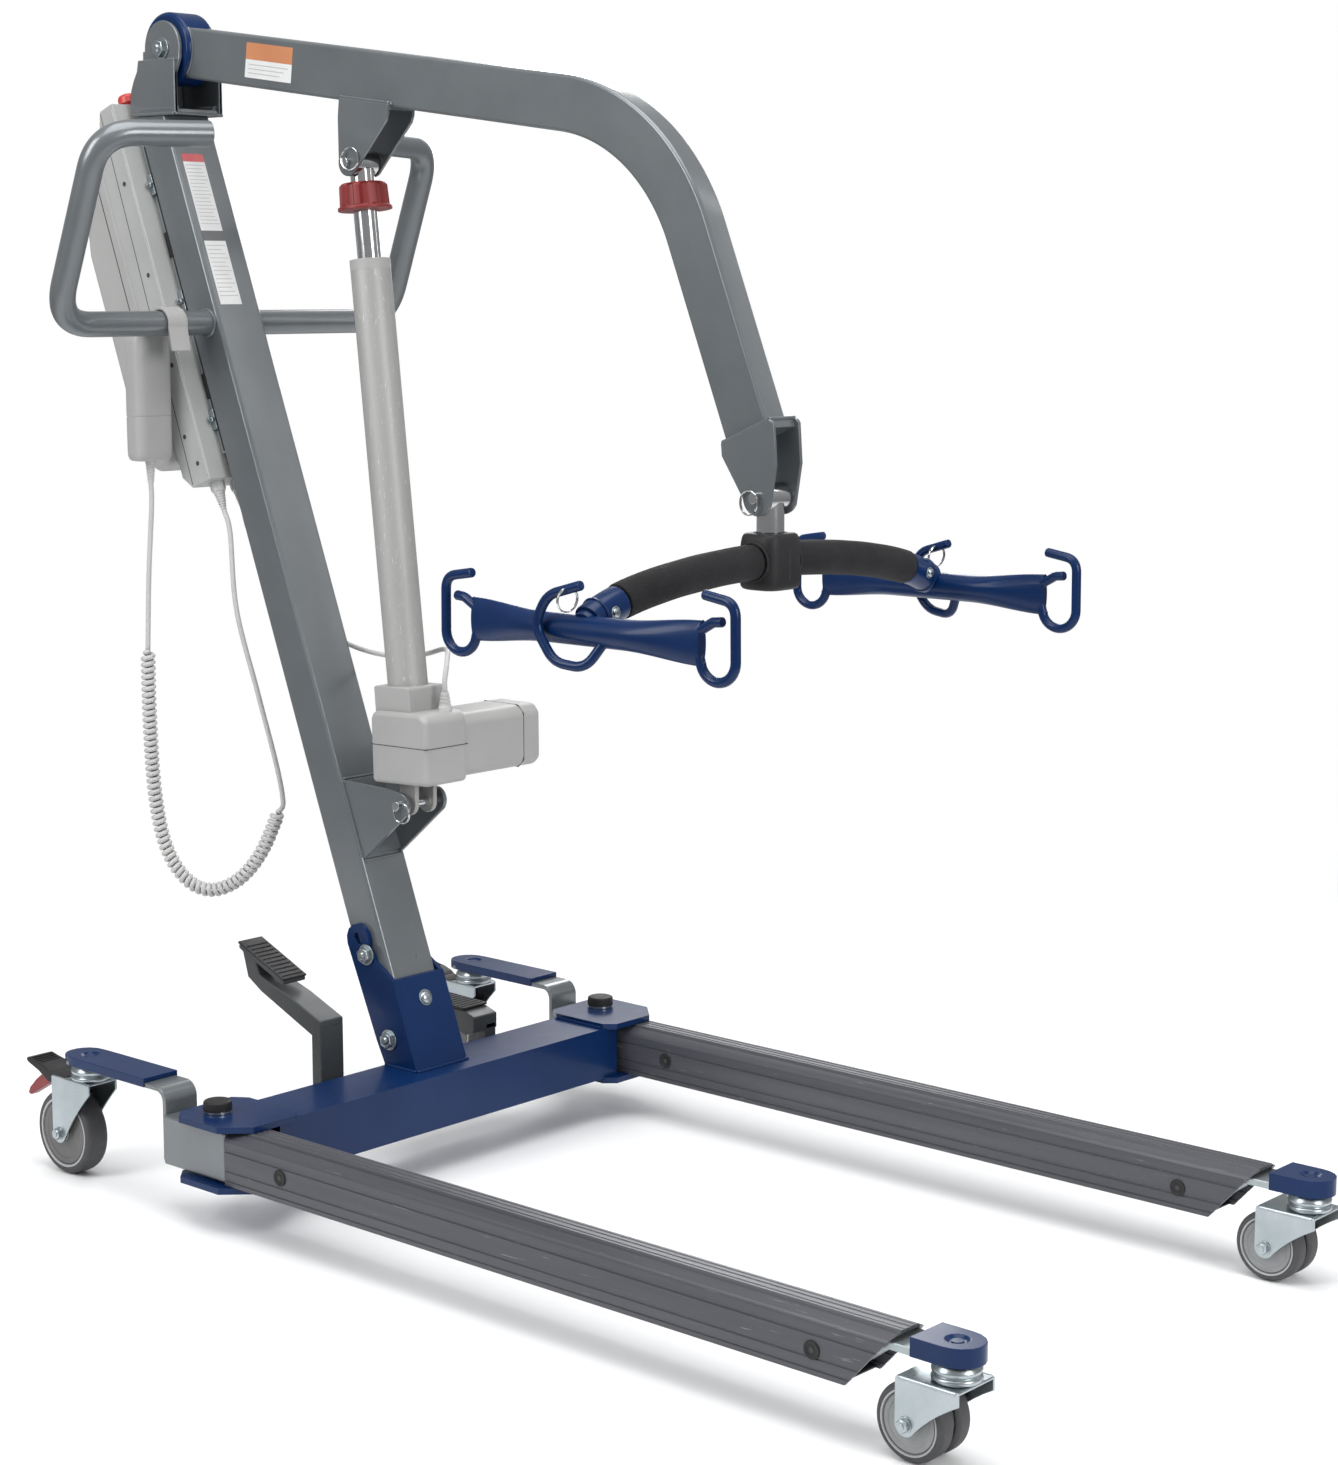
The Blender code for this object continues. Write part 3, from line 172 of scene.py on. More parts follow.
# ================================ materials ======================================================
def surface(name, base, alt, rough, swing=0.06, metal=0.0, grain=1400, bump=0.08, depth=0.0002,
            patch=9.0, stretch=(1, 1, 1), fleck=None, coat=0.0, coat_rough=0.1, cells=None, spec=0.5):
    """Procedural finish: colour drift, roughness drift, a fine grain bump and, if asked, small flecks or cells."""
    m = bpy.data.materials.new(name)
    m.use_nodes = True
    nt = m.node_tree
    shader = nt.nodes["Principled BSDF"]
    shader.inputs["Metallic"].default_value = metal
    shader.inputs["Coat Weight"].default_value = coat
    shader.inputs["Coat Roughness"].default_value = coat_rough
    shader.inputs["Specular IOR Level"].default_value = spec
    coord = add_node(nt, "TexCoord")
    place = add_node(nt, "Mapping", {"Scale": stretch})
    wire(nt, (coord.outputs["Object"], place.inputs["Vector"]))

    def noise_of(scale, detail, roughness=0.55):
        n = add_node(nt, "TexNoise", {"Scale": scale, "Detail": detail, "Roughness": roughness})
        wire(nt, (place.outputs[0], n.inputs["Vector"]))
        return n.outputs[0]

    colour = colour_ramp(nt, noise_of(patch, 5), [(0.32, base), (0.72, alt)])
    if fleck:
        tone, size, amount = fleck
        dots = colour_ramp(nt, noise_of(size, 3, 0.7),
                           [(1 - amount, (0, 0, 0)), (min(1, 1.06 - amount), (1, 1, 1))])
        mix = add_node(nt, "Mix", data_type="RGBA")
        mix.inputs[7].default_value = (*tone, 1)
        wire(nt, (dots, mix.inputs[0]), (colour, mix.inputs[6]))
        colour = mix.outputs[2]
    drift = add_node(nt, "MapRange", {"To Min": max(0.02, rough - swing), "To Max": rough + swing})
    height = noise_of(grain, 2)
    if cells:
        cell = add_node(nt, "TexVoronoi", {"Scale": cells})
        add = add_node(nt, "Math", operation="ADD")
        wire(nt, (place.outputs[0], cell.inputs["Vector"]), (height, add.inputs[0]),
             (cell.outputs["Distance"], add.inputs[1]))
        height = add.outputs[0]
    relief = add_node(nt, "Bump", {"Strength": bump, "Distance": depth})
    wire(nt, (colour, shader.inputs["Base Color"]), (noise_of(patch * 4.5, 4), drift.inputs["Value"]),
         (drift.outputs[0], shader.inputs["Roughness"]), (height, relief.inputs["Height"]),
         (relief.outputs[0], shader.inputs["Normal"]))
    return m


GREY = surface("grey_powder_coat", (0.128, 0.143, 0.153), (0.16, 0.175, 0.185), 0.3, 0.05, 0.35,
               grain=950, bump=0.1, coat=0.45, coat_rough=0.14, fleck=((0.22, 0.24, 0.26), 240, 0.3))
NAVY = surface("navy_gloss_coat", (0.0016, 0.016, 0.072), (0.003, 0.023, 0.095), 0.3, 0.05, 0.0,
               grain=800, bump=0.08, coat=0.1, coat_rough=0.08, fleck=((0.006, 0.034, 0.13), 260, 0.3), spec=0.2)
COVER = surface("leg_cover_extrusion", (0.054, 0.057, 0.068), (0.082, 0.083, 0.095), 0.4, 0.07, 0.15,
                grain=700, bump=0.22, stretch=(1.0, 0.05, 1.0), patch=42, fleck=((0.2, 0.195, 0.2), 380, 0.33))
ZINC = surface("zinc_plate", (0.36, 0.41, 0.43), (0.46, 0.5, 0.52), 0.3, 0.08, 1.0,
               grain=600, bump=0.025, patch=22, fleck=((0.33, 0.38, 0.4), 320, 0.3))
STEEL = surface("pale_steel", (0.34, 0.39, 0.4), (0.44, 0.48, 0.49), 0.36, 0.08, 0.7, grain=700, bump=0.05,
                patch=26, fleck=((0.4, 0.43, 0.44), 300, 0.36))
CHROME = surface("polished_chrome", (0.56, 0.57, 0.58), (0.66, 0.66, 0.66), 0.14, 0.04, 1.0,
                 grain=900, bump=0.03, patch=30)
ALU = surface("anodised_aluminium", (0.37, 0.37, 0.36), (0.42, 0.42, 0.41), 0.5, 0.05, 0.35,
              grain=1500, bump=0.08, patch=16, stretch=(1, 1, 0.08), fleck=((0.7, 0.7, 0.69), 700, 0.36))
CASE = surface("light_case_plastic", (0.34, 0.34, 0.335), (0.39, 0.39, 0.385), 0.46, 0.06, 0.0,
               grain=1700, bump=0.3, depth=0.00025, fleck=((0.4, 0.41, 0.41), 900, 0.34))
CASE_PALE = surface("pale_case_plastic", (0.54, 0.535, 0.525), (0.6, 0.595, 0.585), 0.44, 0.06, 0.0,
                    grain=1300, bump=0.1)
CASE_DARK = surface("grey_case_plastic", (0.36, 0.365, 0.36), (0.42, 0.425, 0.42), 0.48, 0.06, 0.0,
                    grain=1700, bump=0.32, depth=0.00025, fleck=((0.3, 0.3, 0.3), 900, 0.34))
CORD = surface("cord_pvc", (0.46, 0.465, 0.46), (0.54, 0.54, 0.53), 0.42, 0.05, 0.0, grain=1100, bump=0.12)
BLACK = surface("black_plastic", (0.014, 0.014, 0.015), (0.03, 0.03, 0.032), 0.48, 0.08, 0.0,
                grain=1300, bump=0.3, fleck=((0.05, 0.05, 0.05), 600, 0.34), spec=0.22)
FOAM = surface("black_foam", (0.012, 0.012, 0.013), (0.028, 0.028, 0.03), 0.78, 0.08, 0.0,
               grain=900, bump=0.55, depth=0.0005, cells=620, fleck=((0.05, 0.05, 0.052), 500, 0.36), spec=0.18)
TYRE = surface("grey_tyre", (0.038, 0.038, 0.042), (0.062, 0.062, 0.066), 0.58, 0.1, 0.0,
               grain=900, bump=0.3, fleck=((0.1, 0.1, 0.1), 300, 0.36))
HUB = surface("grey_wheel_core", (0.2, 0.21, 0.215), (0.27, 0.275, 0.28), 0.45, 0.07, 0.0,
              grain=1200, bump=0.22, patch=24, fleck=((0.34, 0.34, 0.34), 500, 0.36))
HUB_DARK = surface("dark_wheel_core", (0.095, 0.092, 0.092), (0.135, 0.13, 0.13), 0.45, 0.07, 0.0,
                   grain=1200, bump=0.22, patch=24, fleck=((0.17, 0.165, 0.165), 500, 0.36))
# pale wheel rings: their own paler tone together with a painted highlight
PALE_RING_AND_HIGHLIGHT = surface("pale_wheel_ring_and_painted_highlight", (0.34, 0.35, 0.355), (0.42, 0.425, 0.43), 0.4, 0.06, 0.0, grain=1200, bump=0.2)
RED = surface("dull_red_plastic", (0.185, 0.017, 0.017), (0.26, 0.028, 0.025), 0.42, 0.07, 0.0,
              grain=1300, bump=0.25, fleck=((0.36, 0.07, 0.06), 600, 0.34))
BRIGHT_RED = surface("stop_red_plastic", (0.48, 0.04, 0.034), (0.58, 0.06, 0.05), 0.34, 0.05, 0.0,
                     grain=1200, bump=0.15)
PEDAL = surface("pedal_powder_coat", (0.036, 0.04, 0.043), (0.058, 0.062, 0.066), 0.42, 0.07, 0.2,
                grain=800, bump=0.2, fleck=((0.15, 0.16, 0.16), 300, 0.33))
# painted shade: dark strips, rings and discs that stand for the shade in seams, grooves, holes, sockets and tube
# mouths
SHADE = surface("seam_shadow", (0.03, 0.031, 0.033), (0.05, 0.05, 0.052), 0.7, 0.08)
LABEL = surface("label_pale", (0.66, 0.67, 0.67), (0.74, 0.745, 0.74), 0.36, 0.05, grain=900, bump=0.1, patch=30)
LABEL_RED = surface("label_red", (0.5, 0.1, 0.11), (0.58, 0.14, 0.14), 0.36, 0.05, grain=900, bump=0.1, patch=40)
LABEL_ORANGE = surface("label_orange", (0.5, 0.2, 0.09), (0.58, 0.25, 0.12), 0.36, 0.05, grain=900, bump=0.1)
LABEL_LINE = surface("label_rule", (0.4, 0.39, 0.39), (0.46, 0.45, 0.45), 0.4, 0.05, grain=900, bump=0.1)
LABEL_DARK = surface("label_grey", (0.1, 0.105, 0.11), (0.15, 0.155, 0.16), 0.4, 0.05, grain=900, bump=0.1)


# ================================ mesh builders ==================================================
def bm_from(verts, faces):
    bm = bmesh.new()
    made = [bm.verts.new(v) for v in verts]
    for f in faces:
        bm.faces.new([made[i] for i in f])
    bmesh.ops.recalc_face_normals(bm, faces=bm.faces)
    return bm


def rounded(bm, width, seg=2, angle=28):
    bm.normal_update()
    edges = [e for e in bm.edges if len(e.link_faces) == 2 and e.calc_face_angle(0.0) > radians(angle)]
    if edges and width > 0:
        bmesh.ops.bevel(bm, geom=edges, offset=width, segments=seg, profile=0.5, affect="EDGES",
                        clamp_overlap=True)
        bmesh.ops.remove_doubles(bm, verts=bm.verts, dist=2e-6)
    return bm


def prism(axis, outline, a, b, bevel=0.0008, seg=2):
    def put(p, t):
        return {"x": (t, p[0], p[1]), "y": (p[0], t, p[1]), "z": (p[0], p[1], t)}[axis]
    n = len(outline)
    verts = [put(p, a) for p in outline] + [put(p, b) for p in outline]
    faces = [tuple(range(n)), tuple(range(n, 2 * n))]
    faces += [(i, (i + 1) % n, n + (i + 1) % n, n + i) for i in range(n)]
    return rounded(bm_from(verts, faces), bevel, seg)


def block(x0, x1, y0, y1, z0, z1, bevel=0.0008, seg=2):
    return prism("z", [(x0, y0), (x1, y0), (x1, y1), (x0, y1)], z0, z1, bevel, seg)


def arc(cy, cz, r, a0, a1, n):
    return [(cy + r * cos(radians(a0 + (a1 - a0) * i / n)),
             cz + r * sin(radians(a0 + (a1 - a0) * i / n))) for i in range(n + 1)]


X, Y, Z = Vector((1, 0, 0)), Vector((0, 1, 0)), Vector((0, 0, 1))


def frame_of(direction):
    """The direction and two more at right angles to it."""
    d = Vector(direction).normalized()
    side = d.cross(X if abs(d.x) < 0.9 else Y).normalized()
    return d, side, d.cross(side)


def bend(a, corner, b, n):
    """Points on the smooth curve from a to b that is drawn towards corner."""
    return [a * (1 - t) ** 2 + corner * 2 * t * (1 - t) + b * t * t for t in (k / n for k in range(n + 1))]


def soften(profile, r, n=3):
    """Round the corners of a turned profile."""
    pts = [Vector(p) for p in profile]
    out = [pts[0]]
    for i in range(1, len(pts) - 1):
        a, b = pts[i - 1] - pts[i], pts[i + 1] - pts[i]
        if a.length < 1e-6 or b.length < 1e-6:
            continue
        ra, rb = min(r, a.length * 0.45), min(r, b.length * 0.45)
        out += bend(pts[i] + a.normalized() * ra, pts[i], pts[i] + b.normalized() * rb, n)
    out.append(pts[-1])
    return [(p.x, p.y) for p in out]


def lathe(base, direction, profile, seg=40, wobble=None, turn=0.0):
    """Turned solid from (height, radius) steps. wobble(height index, angle) scales the radius."""
    d, side, up = frame_of(direction)
    base = Vector(base)
    verts, rows = [], []
    for k, (h, r) in enumerate(profile):
        if r < 1e-6:
            rows.append([len(verts)])
            verts.append(base + d * h)
            continue
        row = []
        for i in range(seg):
            t = 2 * pi * i / seg + turn
            q = r * (wobble(k, t) if wobble else 1)
            row.append(len(verts))
            verts.append(base + d * h + (side * cos(t) + up * sin(t)) * q)
        rows.append(row)
    faces = []
    for a, b in zip(rows, rows[1:]):
        if len(a) == 1 and len(b) == 1:
            continue
        for i in range(seg):
            j = (i + 1) % seg
            if len(a) == 1:
                faces.append((a[0], b[j], b[i]))
            elif len(b) == 1:
                faces.append((a[i], a[j], b[0]))
            else:
                faces.append((a[i], a[j], b[j], b[i]))
    for row in (rows[0], rows[-1]):
        if len(row) > 1:
            faces.append(tuple(row))
    return bm_from(verts, faces)


def disc(base, direction, steps, r=0.0006, seg=40):
    return lathe(base, direction, soften([(steps[0][0], 0)] + list(steps) + [(steps[-1][0], 0)], r), seg)


def fillet(points, radius, seg=8):
    """The path with its corners rounded."""
    pts = [Vector(p) for p in points]
    out = [pts[0]]
    for i in range(1, len(pts) - 1):
        a = (pts[i - 1] - pts[i]).normalized()
        b = (pts[i + 1] - pts[i]).normalized()
        half = a.angle(b) / 2
        reach = min(radius / max(0.05, abs(sin(half) / cos(half))),
                    0.48 * (pts[i - 1] - pts[i]).length, 0.48 * (pts[i + 1] - pts[i]).length)
        out += bend(pts[i] + a * reach, pts[i], pts[i] + b * reach, seg)
    out.append(pts[-1])
    return out


def even(points, step):
    """The same path at an even spacing."""
    pts = [Vector(p) for p in points]
    total = sum((b - a).length for a, b in zip(pts, pts[1:]))
    n = max(2, round(total / step))
    out, run, want = [pts[0]], 0.0, total / n
    for a, b in zip(pts, pts[1:]):
        seg = (b - a).length
        while seg > 0 and run + seg >= want * len(out) and len(out) < n:
            out.append(a.lerp(b, (want * len(out) - run) / seg))
        run += seg
    out.append(pts[-1])
    return out


def loft(rings):
    """Closed solid through rings of equally many points."""
    n, last = len(rings[0]), len(rings) - 1
    faces = [tuple(range(n)), tuple(range(last * n, (last + 1) * n))]
    for k in range(last):
        for i in range(n):
            j = (i + 1) % n
            faces.append((k * n + i, k * n + j, (k + 1) * n + j, (k + 1) * n + i))
    return bm_from([v for ring in rings for v in ring], faces)


def oblong(cx, cy, z, a, b, power, n):
    """Level ring of n points round a rounded rectangle of half widths a and b."""
    ring = []
    for i in range(n):
        c, q = cos(2 * pi * i / n), sin(2 * pi * i / n)
        ring.append((cx + a * abs(c) ** power * (1 if c > 0 else -1),
                     cy + b * abs(q) ** power * (1 if q > 0 else -1), z))
    return ring


def tube(points, radius, seg=20, flat=None, edge=0.0008):
    """Swept solid with softly rounded ends. radius is a number or one per point."""
    pts = [Vector(p) for p in points]
    radii = list(radius) if hasattr(radius, "__len__") else [radius] * len(pts)
    flat = list(flat) if flat else [(1, 1)] * len(pts)
    for end in (0, -1):
        step = (pts[1] - pts[0]) if end == 0 else (pts[-2] - pts[-1])
        t = step.normalized()
        e = min(edge, step.length * 0.45)
        extra = [(pts[end], radii[end] - e), (pts[end] + t * e * 0.3, radii[end] - e * 0.3),
                 (pts[end] + t * e, radii[end])]
        if end:
            extra.reverse()
        part = slice(0, 1) if end == 0 else slice(-1, None)
        flat[part] = [flat[end]] * 3
        pts[part] = [p for p, r in extra]
        radii[part] = [r for p, r in extra]
    n = len(pts)
    tangents = [(pts[min(i + 1, n - 1)] - pts[max(i - 1, 0)]).normalized() for i in range(n)]
    side = frame_of(tangents[0])[1]
    rings = []
    for p, d, r, (wide, deep) in zip(pts, tangents, radii, flat):
        side = (side - d * side.dot(d)).normalized()
        up = d.cross(side)
        turns = [2 * pi * (k + 0.5) / seg for k in range(seg)]
        rings.append([p + side * (cos(t) * r * wide) + up * (sin(t) * r * deep) for t in turns])
    return loft(rings)


def ribbed(count, start, pitch, radius, land, groove, depth):
    """Profile steps of a cord's strain relief: ribs with a radius(k) each, and grooves between them."""
    steps = []
    for k in range(count):
        h, r = start + pitch * k, radius(k)
        steps += [(h, r), (h + land, r), (h + land + 0.0002, r - depth), (h + groove, r - depth)]
    return steps


def slip(front, back):
    """Thin plate between two quads."""
    return bm_from(front + back,
                   [(0, 1, 2, 3), (4, 5, 6, 7), (0, 1, 5, 4), (1, 2, 6, 5), (2, 3, 7, 6), (3, 0, 4, 7)])


def weld(points, r=0.0022):
    """A rippled weld bead along a path."""
    step, ripple = 0.0008, 0.003
    pts = even(points, step)
    radii = [r * (0.86 + 0.17 * abs(sin(pi * i * step / ripple)) + 0.1 * noise.noise(Vector((i * 0.13, r * 99, 0))))
             for i in range(len(pts))]
    return tube(pts, radii, 8, edge=0.0006)


def weld_round(centre, axis, radius, r):
    """A weld bead round a bar."""
    _, side, up = frame_of(axis)
    turns = [2 * pi * i / 48 for i in range(49)]
    return weld([Vector(centre) + (side * cos(t) + up * sin(t)) * radius for t in turns], r)


def split_ring(centre, axis, radius, start=0.3):
    wire_r, turns, lift = 0.0009, 1.7, 0.0021
    d, side, up = frame_of(axis)
    n = int(40 * turns)
    pts = []
    for i in range(n + 1):
        t = 2 * pi * turns * i / n + start
        pts.append(Vector(centre) + (side * cos(t) + up * sin(t)) * radius + d * (lift * i / n - lift / 2))
    return tube(pts, wire_r, 8, edge=0.0002)


def hexagon(base, direction, flats, height, turn=0.2):
    r = flats / 2 / cos(pi / 6)
    return lathe(base, direction, [(0, r * 0.97), (0.0003, r), (height - 0.0011, r), (height - 0.0004, r * 0.95),
                                   (height, r * 0.86)], 6, turn=turn)


class Piece:
    """Collects shapes with their finishes into one named object that rides on a body; given a pair of bodies it is
    baked in place and rides on none.
    """
    def __init__(self, name, body, replaces, slot):
        self.name, self.body, self.replaces, self.slot = name, body, replaces, slot
        self.bm, self.mats = bmesh.new(), []

    def put(self, part, mat):
        if mat not in self.mats:
            self.mats.append(mat)
        for f in part.faces:
            f.material_index = self.mats.index(mat)
        me = bpy.data.meshes.new("t")
        part.to_mesh(me)
        part.free()
        self.bm.from_mesh(me)
        bpy.data.meshes.remove(me)

    def turned(self, mat, base, direction, profile, soft=0.0, seg=40, corner=3, **more):
        """Turned solid. soft is the radius that its corners are rounded with."""
        self.put(lathe(base, direction, soften(profile, soft, corner) if soft else profile, seg, **more), mat)

    def plate(self, mat, outline, s, a, b, bevel=0.0008, seg=2):
        """Outline in (y, z) made solid between a and b on side s."""
        self.put(prism("x", outline, *sorted((s * a, s * b)), bevel, seg), mat)

    def cad(self, node, width, mat, seg):
        """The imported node's own shape with softened edges."""
        bm = bmesh.new()
        bm.from_mesh(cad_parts[node].data)
        bmesh.ops.remove_doubles(bm, verts=bm.verts, dist=1e-5)
        bmesh.ops.dissolve_limit(bm, angle_limit=radians(0.5), verts=bm.verts, edges=bm.edges)
        bmesh.ops.translate(bm, verts=bm.verts, vec=(0, -FY, 0))
        rounded(bm, width, seg)
        self.put(bm, mat)

    def done(self, sharp=36):
        bmesh.ops.translate(self.bm, verts=self.bm.verts, vec=(0, FY, 0))
        bmesh.ops.dissolve_degenerate(self.bm, dist=1e-6, edges=self.bm.edges)
        me = bpy.data.meshes.new(self.name)
        self.bm.to_mesh(me)
        self.bm.free()
        for m in self.mats:
            me.materials.append(m)
        me.shade_smooth()
        me.set_sharp_from_angle(angle=radians(sharp))
        ob = link_new(self.name, me)
        if isinstance(self.body, tuple):
            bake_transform(ob)
        else:
            flat = ob.modifiers.new("flat faces stay flat", "WEIGHTED_NORMAL")
            flat.keep_sharp = True
            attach(ob, self.body)
        if self.replaces:
            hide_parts(*self.replaces)
        return ob


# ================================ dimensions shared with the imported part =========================
LEG_X, MAST_W, MAST_D, MAST_TAN = 0.311, 0.07, 0.052, 0.378
MAST_TOP = 1.236
PIV = Vector((0, 0.403, 1.313))
LOW = Vector((0, 0.0, 0.431))
UP = Vector((0, 0.081, 1.169))
TIP = Vector((0, -0.533, 0.815))
FRONT_Y, REAR_Y = -1.008, 0.229
HEAD_PLATE = 0.0052                     # thickness of the head's side straps
HANDLE_R, HANDLE_BEND = 0.015, 0.05
LEAN = Vector((0, MAST_TAN, 1)).normalized()
BACK = Vector((0, 1, -MAST_TAN)).normalized()
MAST_HALF_Y = MAST_D / 2 * hypot(1, MAST_TAN)
AX = (UP - LOW).normalized()
LENGTH = (UP - LOW).length


def mast_y(z):
    return 0.009 + (z - 0.143) * MAST_TAN


def mast_pt(x, z, behind):
    return Vector((x, mast_y(z), z)) + BACK * behind


def along(t):
    return LOW + AX * t


def hex_end(piece, centre, out, flats=0.0165, thread=True):
    """Washer, hexagon head and thread end standing on a face, pointing out."""
    c, d = Vector(centre), Vector(out)
    piece.put(disc(c, d, [(0, flats * 0.74), (0.0016, flats * 0.74)], 0.0004), ZINC)
    piece.put(hexagon(c + d * 0.0016, d, flats, 0.0062), ZINC)
    if thread:
        ridges = [(0.0075 + 0.0005 * i, 0.0047 if i % 2 else 0.0042) for i in range(5)]
        piece.put(lathe(c, d, [(0.007, 0)] + [(0.007, 0.0045)] + ridges + [(0.0105, 0.0036), (0.0105, 0)], 20),
                  ZINC)


def dome(base, rise, r):
    """Profile of a domed head."""
    turns = [radians(a) for a in range(0, 90, 10)]
    return [(base, 0)] + [(base + rise * sin(t), r * cos(t)) for t in turns] + [(base + rise, 0)]


def ring_pin(piece, start, shank, length, head):
    """Chrome pin along X with a head at its far end."""
    piece.turned(CHROME, start, X,
                 [(0, 0), (0, 0.0058), (shank, 0.006), (shank, head), (length, head), (length, 0)], 0.0005, 32)


def eye(piece, centre, half, r, seg):
    """Chrome bush across X, with a bore for its pin."""
    ends = [(0, 0.0066), (0, r), (2 * half, r), (2 * half, 0.0066), (0, 0.0066)]
    piece.turned(CHROME, centre - X * half, X, ends, 0.001, seg)


# ================================ base frame =====================================================
def base_frame():
    p = Piece("base_beam", "base", ["base_frame"], "navy_coat")
    p.cad("base_frame", 0.0011, NAVY, 3)
    f = -MAST_HALF_Y - 0.006
    zt = 0.1186
    x = MAST_W / 2 + 0.0062
    front = mast_y(0.118) + f
    p.put(weld([(-x, front - 0.001, zt), (x, front - 0.001, zt)], 0.0026), NAVY)
    for s in (-1, 1):
        p.put(weld([(s * (x + 0.0004), front, zt), (s * (x + 0.0004), 0.0185, zt)], 0.0024), NAVY)
        for z in (0.1185, 0.0535):
            p.put(weld([(s * 0.2495, -0.058, z), (s * 0.2495, 0.017, z)], 0.0022), NAVY)
            p.put(weld([(s * 0.2505, -0.0622, z), (s * 0.27, -0.0622, z)], 0.0018), NAVY)
        # black cushions on the beam's ends, where the legs come to rest
        p.put(block(*sorted((s * 0.27, s * 0.2752)), -0.018, 0.01, 0.062, 0.11, 0.0006), BLACK)
    # dome bolt on the socket's front plate
    c = Vector((0.002, mast_y(0.196) + f, 0.196))
    n = -BACK
    p.put(disc(c, n, [(0, 0.0098), (0.0012, 0.0098)], 0.0003), ZINC)
    p.put(lathe(c, n, dome(0.0012, 0.0046, 0.0082), 32), ZINC)
    return p.done()


def leg_pivots():
    for s, side in SIDES:
        x = s * LEG_X
        p = Piece("leg_pivot_" + side, "base", ["leg_pivot_bolt_" + side], "zinc")
        p.put(disc((x, 0, 0.1243), Z, [(0, 0.0148), (0.003, 0.0148)], 0.0004), ZINC)
        cap = soften([(0, 0), (0, 0.0163), (0.0095, 0.0158), (0.0108, 0.014), (0.0108, 0)], 0.001)
        p.put(lathe((x, 0, 0.1273), Z, cap, 40), BLACK)
        p.turned(BLACK, (x, 0, 0.1372), Z, [(0, 0), (0, 0.0098), (0.0012, 0.0092), (0.0012, 0)], 0.0004, 32)
        p.put(disc((x, 0, 0.048), -Z, [(0.0003, 0.0125), (0.0023, 0.0125)], 0.0004), ZINC)
        p.put(hexagon((x, 0, 0.0457), -Z, 0.019, 0.0078), ZINC)
        ridges = [(0.01 + 0.0006 * i, 0.006 if i % 2 else 0.0054) for i in range(6)]
        p.put(lathe((x, 0, 0.046), -Z,
                    [(0.006, 0), (0.006, 0.0058)] + ridges + [(0.0142, 0.0048), (0.0142, 0)], 24), ZINC)
        p.done()


